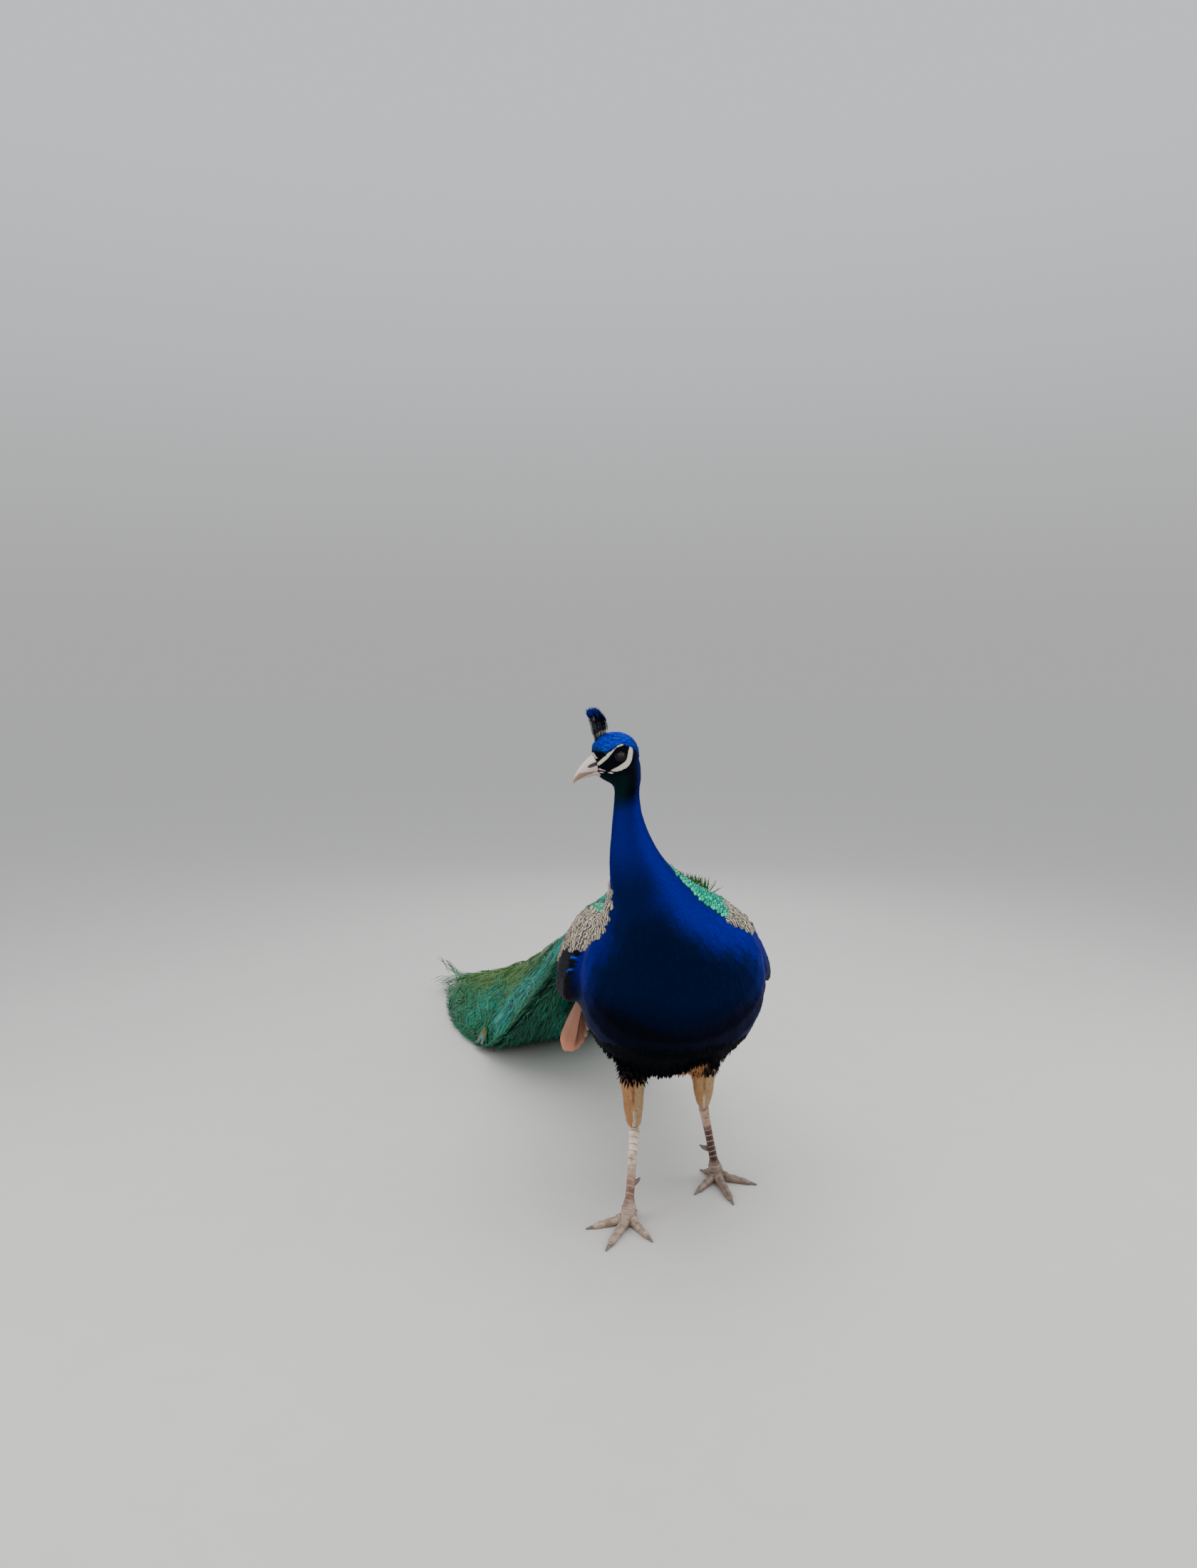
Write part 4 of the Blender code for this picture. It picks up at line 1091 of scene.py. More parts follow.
def growFlight(label):
    side, out, drop = wings[label]
    plan = flightPlan
    count = plan["primaries"]
    f = np.linspace(0, 1, count)[:, None]
    u = np.linspace(0, 1, plan["rows"])[None]
    bow = np.sin(np.pi * u)
    root = joined(side * (0.150 + out), -0.015 + 0.040 * f, 0.405 - drop)
    tip = joined(side * (0.160 + out - 0.062 * f), 0.125 + 0.050 * f,
                 0.262 - drop - 0.006 * np.sin(6 * f) + 0.040 * f ** 2)
    path = root + (tip - root) * u[..., None]
    path[..., 1] += 0.016 * bow
    path[..., 2] -= 0.010 * bow
    normals = unit(joined(side * (0.34 + 0.10 * f), -0.80, 0.42))
    path = path - normals * (0.0022 * (f - 0.5) * count)[..., None] * 0.6
    widths = between(np.array(plan["primaryWidths"])[:, None], u[0] * 4)[:, 0]
    widths = widths * np.sqrt(np.clip(1 - (np.clip(u[0] - 0.78, 0, 1) / 0.225) ** 2, 0.01, 1))
    fade = ease(1.0, 0.62, u) * 0.85 * (0.65 + 0.35 * np.sin(15 * f))
    blades("primaries_feathers_" + label, path, normals, widths, nearest(skinGround, path[:, 0])[2],
           blend(tone["chestnut"], tone["chestnutEnd"], fade), flightHorn, "chestnut_plumage",
           "primaries_" + label, cols=9, cup=0.16, point=0.1, seed=41)

    for name, material, first in (("secondaries", glossDark, "darkCovert"), ("tertials", mottled, "cream")):
        number, t0, t1, v0, v1, wide, sunk = plan[name]
        g = np.linspace(0, 1, number)[:, None]
        t = t0 + (t1 - t0) * g + u * (2.5 + 0.2 * g)
        v = (v0 + (v1 - v0) * g) * (1 - 0.45 * u)
        place, outward = wingPlace(label, np.clip(t, 0, 6.95), v)
        place = place + outward * (0.0080 * ease(0.1, 0.9, u) + 0.0012 * g - sunk)[..., None]
        place[..., 1] += np.clip(t - 6.95, 0, 1) * 0.07
        widths = wide * (0.55 + 0.45 * np.sin(np.pi * np.clip(u * 0.93 + 0.08, 0, 1)))
        colours = blend(tone[first] * 0.8, tone["tailBrown"], (0.55 - 0.35 * g) * ease(0.45, 1.0, u))
        blades(name + "_" + label, place, outward, widths, nearest(skinGround, place[:, 0])[2], colours,
               material, "barred_plumage", cup=0.2, seed=42)


growBack()
for label in wings:
    growCoverts(label)
    growFlight(label)
print("back and wings made")


# Train and tail.

trainPlan = {
    "rows": [  # centre x, y, height of the crown line, of the underside, half width
        (0.000, 0.185, 0.566, 0.540, 0.056), (0.000, 0.265, 0.549, 0.486, 0.100),
        (-0.004, 0.360, 0.508, 0.398, 0.136), (-0.018, 0.470, 0.450, 0.298, 0.158),
        (-0.044, 0.600, 0.380, 0.190, 0.176), (-0.080, 0.740, 0.308, 0.082, 0.188),
        (-0.118, 0.870, 0.242, 0.010, 0.184), (-0.158, 0.990, 0.188, 0.000, 0.184),
        (-0.198, 1.110, 0.142, 0.000, 0.170), (-0.233, 1.225, 0.103, 0.000, 0.142),
        (-0.265, 1.330, 0.070, 0.000, 0.110), (-0.292, 1.410, 0.042, 0.000, 0.088),
        (-0.314, 1.478, 0.022, 0.000, 0.080), (-0.334, 1.540, 0.012, 0.000, 0.074)],
    "spotRows": (2.1, 2.9, 3.7, 4.5, 5.3, 6.1, 6.9, 7.7, 8.5, 9.3, 10.1, 10.9, 11.5),
    "spotStep": 0.046, "barbStep": 0.0029, "barbLength": 0.090, "barbWidth": 0.0019,
    "spotLength": 0.044, "spotWidth": 0.034, "spotShares": (0.03, 0.15, 1.0),   # right, middle, left
    "rowLength": 0.128,     # length of the train from one row of the table to the next, about
    "gold": shade(80, 132, 56), "emerald": shade(26, 132, 84), "turquoise": shade(0, 158, 148),
    "deep": shade(16, 104, 80), "bronze": shade(140, 112, 62), "shaft": shade(150, 140, 100),
    "dark": shade(8, 24, 20), "stray": shade(52, 48, 36),
}
sidePlan = {"spacing": 0.0067, "length": 0.108, "width": 0.0023}
strayPlan = {
    "paths": [[(-0.241, 1.250, 0.060), (-0.333, 1.350, 0.060), (-0.355, 1.400, 0.066), (-0.378, 1.440, 0.080),
               (-0.388, 1.425, 0.094)],
              [(-0.241, 1.250, 0.055), (-0.320, 1.345, 0.054), (-0.375, 1.380, 0.042), (-0.392, 1.392, 0.036),
               (-0.409, 1.400, 0.030)]],
    "count": 16, "spread": 0.010, "width": 0.0026}
tailPlan = {"count": 16, "width": 0.046,
            "line": [(0.000, 0.325, 0.418), (-0.003, 0.410, 0.334), (-0.010, 0.500, 0.252),
                     (-0.018, 0.590, 0.178), (-0.026, 0.655, 0.128)]}


lastRow = len(trainPlan["rows"]) - 1


def trainRow(t):
    return between(trainPlan["rows"], t)


def trainPlace(t, s):
    # a place on the domed top of the train: t in rows of the table, s from -1 to 1 across
    t, s = np.broadcast_arrays(np.asarray(t, float), np.asarray(s, float))
    row = trainRow(t)
    ahead = trainRow(np.clip(t + 0.15, 0, lastRow)) - trainRow(np.clip(t - 0.15, 0, lastRow))
    way = unit(ahead[..., :2])
    thick = np.maximum(row[..., 2] - row[..., 3] - 0.012, 0)
    top = row[..., 3] + 0.012 + thick * (1 - np.clip(np.abs(s), 0, 1) ** 2.6)
    flat = row[..., :2] + np.stack([way[..., 1], -way[..., 0]], -1) * (s * row[..., 4])[..., None]
    return np.concatenate([flat, top[..., None]], -1)


def trainNormal(t, s):
    along = trainPlace(t + 0.05, s) - trainPlace(t - 0.05, s)
    over = trainPlace(t, np.clip(s + 0.02, -1, 1)) - trainPlace(t, np.clip(s - 0.02, -1, 1))
    return unit(np.cross(over, along))


def heightTone(row, place, luck):
    # deep green low down, bright turquoise, emerald, then golden green on top
    plan = trainPlan
    high = np.clip((place[..., 2] - row[..., 3]) / np.maximum(row[..., 2] - row[..., 3], 0.02), 0, 1)
    high = high + 0.20 * ripple(place, 22, 61) + 0.3 * (luck - 0.5)
    colour = blend(plan["deep"], plan["emerald"], ease(0.0, 0.30, high))
    bright = ease(0.15, 0.35, high) * ease(0.75, 0.50, high) * ease(1.15, 0.65, place[..., 1])
    colour = blend(colour, plan["turquoise"], bright)
    return blend(colour, plan["gold"], ease(0.50, 1.0, high))


def trainTone(t, s, luck):
    return heightTone(trainRow(t), trainPlace(t, s), luck)


def trainBake(t, s):
    # a spot on the train's own unwrap: u from the bird's right to its left, v from the rump to the far end
    return np.stack([0.5 + 0.48 * np.clip(s, -1, 1), np.clip(t, 0, lastRow) / (lastRow + 0.2) + 0.01], -1)


def ribbons(t, s, rise, width, roll=0.0):
    # thin strips over the train: pieces x rows of t, s, rise, width and roll, as two-column grids
    normal = trainNormal(t, s)
    place = trainPlace(t, s) + normal * rise[..., None]
    side = np.cross(unit(np.gradient(place, axis=1)), normal)
    if np.any(roll):
        side = unit(side * np.cos(roll)[..., None] + normal * np.sin(roll)[..., None])
    half = (width / 2)[..., None]
    grid = np.stack([place - side * half, place + side * half], 2)
    grid[..., 2] = np.maximum(grid[..., 2], 0.0008)
    return grid


def strandMaterial():
    material = newMaterial("trainStrand")
    dim = noise(600.0, 2.0) * 0.7 + 0.65
    rings = maths("SINE", vanePlace()[1] * 180.0)
    return finished(material, {"Base Color": scaledColour(toneHere(), dim),
                               "Normal": bump(rings, 0.3, 0.0003), "Roughness": 0.36, "Metallic": 0.6})


def eyeSpotMaterial():
    # rings round a notched dark heart, at the end of a train feather
    material = newMaterial("eyeSpot")
    across, along = vanePlace()
    x, y = across - 0.5, along - 0.50
    fine = maths("SINE", maths("ARCTAN2", x, y) * 90.0)
    reach = farFrom(x, y) + fine * 0.006
    notch = (1.0 - stepUp(0.0, 0.08, abs(x))) * 0.06 * stepUp(0.0, 0.05, y * -1.0)
    inHeart = 1.0 - stepUp(0.135, 0.150, farFrom(x * 1.15, y + 0.05) + notch)
    rings = ramp(reach, [
        (0.00, shade(0, 150, 175)), (0.24, shade(0, 165, 170)), (0.27, shade(150, 90, 40)),
        (0.37, shade(130, 84, 38)), (0.40, shade(150, 160, 70)), (0.44, shade(40, 90, 50)),
        (0.47, shade(120, 150, 70)), (0.55, shade(30, 100, 60))])
    painted = mixed(inHeart, rings, shade(12, 10, 92))
    lit = mixed(fine * 0.2 + 0.2, painted, (0.2, 0.2, 0.2), "MULTIPLY")
    return finished(material, {"Base Color": lit, "Normal": bump(fine, 0.3, 0.0003),
                               "Metallic": 0.6, "Roughness": 0.32})


def growTrain():
    plan = trainPlan
    rng = np.random.default_rng(51)
    ends, sides = [], []
    for i, t in enumerate(plan["spotRows"]):
        number = max(int(round(2 * trainRow(t)[4] / plan["spotStep"])), 3)
        for k in range(number + (i % 2)):
            s = -1 + 2.0 / number * (k + (0.5 if i % 2 == 0 else 0.0))
            ends.append(t + rng.normal() * 0.10)
            sides.append(np.clip(s * 0.98 + rng.normal() * 0.02, -0.99, 0.99))
    ends, sides = np.array(ends), np.array(sides)
    count = len(ends)
    luck = rng.random(count)
    share = np.interp(sides, (-0.15, -0.10, 0.20, 0.30), np.repeat(plan["spotShares"], (1, 2, 1)))
    spotted = rng.random(count) < share
    starts = np.maximum(ends - 4.2, 0.05)

    def laid(k, t):
        # how far under the top a feather lies, one feather k for each t
        return -0.0012 - 0.0036 * np.clip(ends[k] - t, 0, 4) + 0.001 * (luck[k] - 0.5)

    def wander(k, t):
        return 0.02 * np.sin(3.0 * t + 6 * luck[k])

    # shafts
    u = np.linspace(0, 1, 22)[None]
    k = np.arange(count)[:, None]
    t = starts[k] + (ends - starts)[k] * u
    s = np.clip(sides[k] * (0.90 + 0.10 * u) + wander(k, t), -1, 1)
    grid = ribbons(t, s, laid(k, t) + 0.0010, 0.0022 * (1 - 0.6 * u))
    lay("trainShafts", grid, trainBake(starts, sides), plan["shaft"], luck, strand, "green_plumage")

    # loose barbs on both sides of each shaft
    ts, ks, ways = [], [], []
    for i in range(count):
        span = min(ends[i] - starts[i], 3.3)
        number = int(span * plan["rowLength"] / plan["barbStep"])
        spots = ends[i] - span * (np.arange(number) + rng.random(number) * 0.8) / number
        ts.append(np.tile(spots, 2))
        ks.append(np.full(2 * number, i))
        ways.append(np.repeat((-1, 1), number))
    ts, k, ways = (np.concatenate(v)[:, None] for v in (ts, ks, ways))
    n = len(ts)
    b = np.linspace(0, 1, 6)[None]
    near = np.clip((ends[k] - ts) / 0.5, 0.25, 1)
    size = plan["barbLength"] * rng.uniform(0.7, 1.25, (n, 1)) * (0.45 + 0.55 * near)
    turn = np.radians(rng.uniform(16, 38, (n, 1))) * (1 - 0.55 * b)
    phase = 0.35 * rng.uniform(0, 6.28, (n, 1)) + 6.28 * luck[k] + 9.0 * ts
    wave = 0.0058 * np.sin(7.0 * b + phase) * b + 0.0014 * np.sin(15.0 * b + 2 * phase) * b
    outward = size * b * np.sin(turn) + wave
    t = np.clip(ts + size * b * np.cos(turn) / plan["rowLength"], 0, lastRow)
    root = sides[k] * (0.90 + 0.10 * np.clip((ts - starts[k]) / np.maximum(ends[k] - starts[k], 0.1), 0, 1))
    s = np.clip(root + wander(k, ts) + ways * outward / trainRow(ts[:, 0])[:, 4:5], -1.12, 1.12)
    rise = (laid(k, ts) + rng.normal(size=(n, 1)) * 0.0016 + 0.0030 * b ** 2 * rng.random((n, 1))
            + 0.0010 * np.sin(9 * b + phase))
    grid = ribbons(t, s, rise, plan["barbWidth"] * (1 - 0.65 * b) * rng.uniform(0.7, 1.3, (n, 1)),
                   roll=rng.normal(size=(n, 1)) * 0.5)
    mixLuck = np.clip(luck[k] * 0.6 + rng.random((n, 1)) * 0.4, 0, 1)
    colours = trainTone(t, s, mixLuck) * (0.70 + 0.95 * rng.random((n, 1, 1))) * (0.65 + 0.6 * b[..., None])
    colours = blend(colours, plan["bronze"], 0.45 * b ** 2 * (rng.random((n, 1)) > 0.6))
    # looser and more ragged towards the far end
    stay = np.flatnonzero(rng.random(n) > 0.74 * ease(7.0, 11.5, ts[:, 0]))
    stay = stay[np.argsort(ts[stay, 0], kind="stable")]
    for label, part in zip(("near", "far"), np.array_split(stay, 2)):
        lay("trainBarbs_" + label, grid[part], trainBake(ts[part, 0], root[part, 0]), colours[part],
            mixLuck[part, 0], strand, "green_plumage")

    # eye spots, each a small vane ringed by a fan of loose barbs
    ends, sides, luck = (v[spotted, None, None] for v in (ends, sides, luck))
    count = len(ends)
    u = np.linspace(0, 1, 9)[None, :, None]
    across = np.linspace(-1, 1, 9)[None, None]
    sideways = across * np.sqrt(np.clip(1 - (2 * u - 1) ** 2, 0.03, 1)) * plan["spotWidth"] / 2
    half = trainRow(ends)[..., 4]
    t = np.clip(ends + (u - 0.35) * plan["spotLength"] / plan["rowLength"] + 0 * across, 0, lastRow)
    s = sides + sideways / half
    s = np.where(np.abs(s) > 1, np.sign(s) * (2 - np.abs(s)), s)
    place = trainPlace(t, s) + trainNormal(t, s) * (
        0.0030 + 0.0030 * u - 0.0035 * across ** 2 + 0.003 * luck)[..., None]
    place[..., 2] = np.maximum(place[..., 2], 0.001)
    lay("eyeSpots", place, trainBake(ends, sides)[:, 0, 0], (1.0, 1.0, 1.0), luck, eyeSpotMaterial(),
        "green_plumage")

    number = 46
    n = count * number
    end, side, luck, half = (np.repeat(v[:, 0], number, axis=0) for v in (ends, sides, luck, half))
    a = np.tile(np.linspace(-2.3, 2.3, number), count)[:, None] + rng.normal(size=(n, 1)) * 0.06
    b = np.linspace(0, 1, 5)[None]
    reach = 0.012 + rng.uniform(0.70, 1.20, (n, 1)) * (0.016 + 0.024 * np.cos(a / 2.3) ** 2) * b
    bend = a * (1 - 0.30 * b)
    t = np.clip(end + (reach * np.cos(bend) + 0.006) / plan["rowLength"], 0, lastRow)
    s = np.clip(side + reach * np.sin(bend) / half, -1, 1)
    rise = 0.0022 + 0.0020 * rng.normal(size=(n, 1)) * b + 0.0030 * luck - 0.002 * b
    grid = ribbons(t, s, rise, 0.0014 * (1 - 0.6 * b), roll=rng.normal(size=(n, 1)) * 0.4)
    colours = trainTone(t, s, luck) * (0.6 + 0.7 * rng.random((n, 1, 1)))
    colours = blend(colours, plan["bronze"], 0.35 * (rng.random((n, 1)) > 0.5) * (b > 0.4))
    lay("eyeSpotFringe", grid, trainBake(end, side)[:, 0], colours, luck, strand, "green_plumage")


def makeTrainBed():
    # the close-lying body of the train under the loose barbs, painted nearly black as the shade of the deeper
    # layers
    nodes = ("train_root", "train_middle", "train_end")
    bed = copyNodes("trainBed", nodes, skinPlan["swell"])
    remesh(bed, 0.0050, 6)
    places, normals = surfaceOf(bed)
    rows = np.array(trainPlan["rows"])
    thick = np.interp(places[:, 1], rows[:, 1], rows[:, 2] - rows[:, 3])
    places -= normals * np.clip(thick * 0.22, 0.003, 0.015)[:, None]
    places[:, 2] = np.maximum(places[:, 2], 0.0012)
    setPlaces(bed, places)
    edit(bed, byVertex, nothing)
    bed.data.vertices.foreach_set("select", places[:, 1] > 1.14 + 0.05 * ripple(places, 40, 66))
    edit(bed, (bpy.ops.mesh.delete, {"type": "VERT"}), everything, (bpy.ops.mesh.fill_holes, {"sides": 0}),
         *unwrapping)
    bed.data.uv_layers[0].name = "OFBake"
    material = newMaterial("trainBedShade")
    streak = noise(60.0, 5.0, objectPlace(Scale=(9.0, 0.6, 2.0), Rotation=(0.35, 0, 0.25)))
    # painted shade: dark greens, nearly black
    colour = ramp(streak, [
        (0.30, (0.002, 0.006, 0.004)), (0.55, (0.010, 0.030, 0.020)), (0.75, (0.05, 0.06, 0.03))])
    bed.data.materials.append(finished(material, {
        "Base Color": colour, "Normal": bump(streak, 0.8, 0.002), "Roughness": 0.6}))
    return keepPiece(bed, "green_plumage", *nodes)


def growTrainSides(bed):
    # long wavy barbs hanging over the sides of the train
    plan = sidePlan
    ground = groundOf(bed)
    y, up = ground["middles"][:, 1], ground["faceNormals"][:, 2]
    mask = ease(0.85, 0.55, up) * (0.25 + 0.75 * ease(-0.9, -0.5, up))
    mask = mask * ease(0.24, 0.30, y) * ease(1.22, 1.00, y)
    spot, normals, bake = scatter(ground, mask, plan["spacing"], 67)
    luck = np.random.default_rng(68).random(len(spot))
    rows = np.array(trainPlan["rows"])
    row = trainRow(np.interp(spot[:, 1], rows[:, 1], np.arange(len(rows))))
    grids = grow(spot, normals, joined(-0.25, 1.0, -0.42 - 0.45 * luck), plan["length"] * (0.6 + 0.6 * luck),
                 plan["width"], rows=8, cols=2, lift=(0.0010, 0.0120), cup=0.0, point=0.0, taper=0.35,
                 free=0.6, fall=0.20, ruffle=0.16, sway=0.13, seed=69, ground=ground)
    grids[..., 2] = np.maximum(grids[..., 2], 0.0010)
    colours = heightTone(row, spot, luck) * (0.55 + 1.1 * luck[:, None])
    # painted shade: a quarter of the hanging barbs nearly black, for the shaded gaps between strands
    colours = blend(colours, trainPlan["dark"], (luck < 0.25) * 0.8)
    lay("trainSideBarbs", grids, bake, colours, luck, strand, "green_plumage")


def growStrays():
    # a few curling tips beyond the end of the train
    plan = strayPlan
    rng = np.random.default_rng(72)
    u = np.linspace(0, 1, 16)[:, None]
    paths = []
    for line in plan["paths"]:
        base = between(line, 4 * u[:, 0])
        for _ in range(plan["count"]):
            away = rng.normal(size=3) * plan["spread"] * (0.4 + 0.6 * np.abs(1 - 1.6 * u))
            paths.append(base[0] + (base - base[0]) * rng.uniform(0.75, 1.02) + away
                         + 0.003 * np.sin(9 * u + rng.uniform(0, 6)))
    paths = np.array(paths)
    paths[..., 2] = np.maximum(paths[..., 2], 0.002)
    u = u.T
    bake = np.tile(trainBake(12.0, 0.0), (len(paths), 1))
    blades("trainStrays", paths, np.array([0.2, -0.4, 0.9]), plan["width"] * (1 - 0.6 * u), bake,
           blend(trainPlan["emerald"], trainPlan["stray"], ease(0.35, 0.75, u)), strand, "green_plumage",
           cols=3, cup=0.0, seed=73)


def growTail():
    # stiff tail feathers that carry the train from underneath
    plan = tailPlan
    count, rows = plan["count"], 14
    u = np.linspace(0, 1, rows)[None]
    f = np.linspace(-1, 1, count)[:, None]
    path = np.broadcast_to(between(plan["line"], u * 4), (count, rows, 3)).copy()
    path[..., 0] += (0.018 + 0.074 * u) * f
    path[..., 1] -= 0.030 * u * f ** 2
    path[..., 2] -= 0.012 * np.abs(f) - 0.0016 * ((np.arange(count) % 2)[:, None] - 0.5)
    widths = plan["width"] * (0.45 + 0.55 * np.sin(np.pi * np.clip(0.12 + 0.72 * u, 0, 1)))
    widths = widths * np.where(u > 0.97, 0.6, 1.0)
    blades("tailFeathers", path, joined(0.25 * f, 0.62, 0.78), widths, nearest(skinGround, path[:, 0])[2],
           tone["tailBrown"], flightHorn, "brown_plumage", "tail", seed=71)


strand = strandMaterial()
growTrain()
growTrainSides(makeTrainBed())
growStrays()
growTail()
print("train and tail made")


# Head: bill, eyes, lids and crest.

billPlan = {
    "voxel": 0.00055, "base": shade(214, 200, 194), "tip": shade(226, 214, 204),
    "stainAndShade": shade(140, 104, 78), "hollow": shade(24, 18, 20),
    "nostril": (0.0422, -0.0156), "nostrilSlope": (-0.93, 0.37),
    "lowerRise": [(0.029, 0.0010), (0.037, 0.0050), (0.049, 0.0040), (0.061, 0.0028), (0.068, 0.0015)],
    "stainAndShadeLine": [(0.034, -0.0275), (0.0403, -0.0253), (0.053, -0.0260), (0.0648, -0.0275),
                  (0.070, -0.0330), (0.074, -0.0400)],
}
eyePlan = {"radius": 0.0068, "spread": 0.0154, "lidRadius": 0.0073, "open": (1.0, 12.0)}
crestPlan = {
    "count": 34, "barbs": 150, "fan": 46, "tipLength": 0.0100, "tipWidth": 0.0046, "shaft": shade(26, 27, 36),
    "barb": (shade(15, 12, 22), shade(8, 34, 140)), "fringe": (shade(9, 14, 44), shade(10, 66, 214)),
    "vane": (shade(8, 24, 90), shade(10, 70, 215)),
}


def alongHead(place):
    # how far forward a shader place lies in the head's own direction
    return node("VectorMath", {0: place, 1: headAhead}, "Value", operation="DOT_PRODUCT")


def hornMaterial():
    # horn that pales along the bill
    plan = billPlan
    material = newMaterial("billHorn")
    start = float((headMiddle + birdOrigin) @ headAhead)
    streak = noise(420.0, 4.0, objectPlace(Scale=(0.35, 1.0, 1.0)))
    colour = mixed(stepUp(start + 0.030, start + 0.070, alongHead(objectPlace())), plan["base"], plan["tip"])
    # brown along the lower edge of the upper bill: partly its tan cutting edge, partly painted shade
    colour = mixed(fact("Stain") * 0.85, colour, plan["stainAndShade"])
    colour = mixed(streak * 0.50, colour, (0.50, 0.42, 0.37), "MULTIPLY")
    # painted shade inside the nostril
    colour = mixed(maths("MULTIPLY", fact("Hollow"), 0.95, clamp=True), colour, plan["hollow"])
    return finished(material, {
        "Base Color": colour, "Roughness": streak * 0.25 + 0.28, "Normal": bump(streak, 0.25, 0.0003),
        "Subsurface Weight": 0.06, "Subsurface Radius": (0.002, 0.001, 0.0007)})


def makeBill():
    plan = billPlan
    horn = hornMaterial()
    for name, part in (("upperBill", "upper_bill"), ("lowerBill", "lower_bill")):
        bill = copyNodes(name, (part,), 0.00015)
        remesh(bill, plan["voxel"], 5)
        places, normals = surfaceOf(bill)
        h, _, z = headLocal(places)
        hollow = np.zeros(len(h))
        # brown along the lower edge of the upper bill: partly its tan cutting edge, partly painted shade
        stainAndShade = ease(0.0010, -0.0018, z - np.interp(h, *np.array(plan["stainAndShadeLine"]).T))
        if name == "upperBill":
            nh, nz = plan["nostril"]
            slope = unit(np.array(plan["nostrilSlope"]))
            along = (h - nh) * slope[0] + (z - nz) * slope[1]
            over = ((z - nz) * slope[0] - (h - nh) * slope[1]) * np.sign(slope[0])
            hollow = np.clip(1 - (along / 0.0112) ** 2 - (over / 0.0034) ** 2, 0, 1)
            flap = np.clip(1 - (along / 0.0110) ** 2 - ((over - 0.0040) / 0.0034) ** 2, 0, 1)
            ridge = ease(0.0013, 0.0, np.abs(over + 0.0034)) * ease(0.015, 0.008, np.abs(along))
            places += normals * (0.0010 * flap + 0.0006 * ridge - 0.0018 * hollow ** 0.6)[:, None]
            # how dark the nostril is painted, as painted shade in its opening
            hollow = ease(0.0, 0.40, hollow)
            stainAndShade = stainAndShade * (1 - ridge)
        else:
            # closed against the upper half
            places += upward * np.interp(h, *np.array(plan["lowerRise"]).T)[:, None]
            stainAndShade = stainAndShade * 0.35
        places += normals * (0.00005 * np.sin((h * 0.8 - z * 0.6) * 5200))[:, None]
        setPlaces(bill, places)
        addFacts(bill.data, Stain=stainAndShade, Hollow=hollow)
        bill.data.materials.append(horn)
        keepPiece(bill, "bill_horn", part)


def eyeMaterial():
    # dark brown eye with a black pupil, rings round the way it looks
    material = newMaterial("eyeGloss")
    away = node("VectorMath", {0: objectPlace(), 1: headMiddle + birdOrigin}, operation="SUBTRACT")
    reach = farFrom(alongHead(away) - 0.0004, node("SeparateXYZ", {0: away}, 2) - 0.0010)
    reach = reach + (noise(1500.0) - 0.5) * 0.0005
    colour = ramp(reach * 150.0, [
        (0.00, (0.002, 0.002, 0.002)), (0.30, (0.002, 0.002, 0.002)), (0.36, (0.070, 0.026, 0.010)),
        (0.62, (0.040, 0.014, 0.006)), (0.72, (0.006, 0.004, 0.004)), (1.0, (0.010, 0.008, 0.008))])
    return finished(material, {"Base Color": colour, "Roughness": 0.12, "Coat Weight": 0.35,
                               "Coat Roughness": 0.10})


def lidMaterial():
    material = newMaterial("eyelidSkin")
    wrinkle = noise(1700.0, 4.0)
    colour = mixed(wrinkle, (0.011, 0.007, 0.012), (0.030, 0.021, 0.031))
    colour = mixed(fact("Upper"), colour, (0.005, 0.004, 0.006))
    # painted highlight along the margins of the lids
    colour = mixed(fact("Margin") * 0.7, colour, (0.085, 0.080, 0.090))
    return finished(material, {"Base Color": colour, "Normal": bump(wrinkle, 0.7, 0.0004),
                               "Roughness": 0.6, "Specular IOR Level": 0.2})


def ball(name, middle, radius, segments, rings, material, turn=(0.0, 0.0, 0.0)):
    bpy.ops.mesh.primitive_uv_sphere_add(segments=segments, ring_count=rings, radius=radius,
                                         location=middle, rotation=turn)
    ob = bpy.context.active_object
    ob.name = name
    bpy.ops.object.transform_apply(location=True, rotation=True, scale=True)
    ob.data.materials.append(material)
    return ob


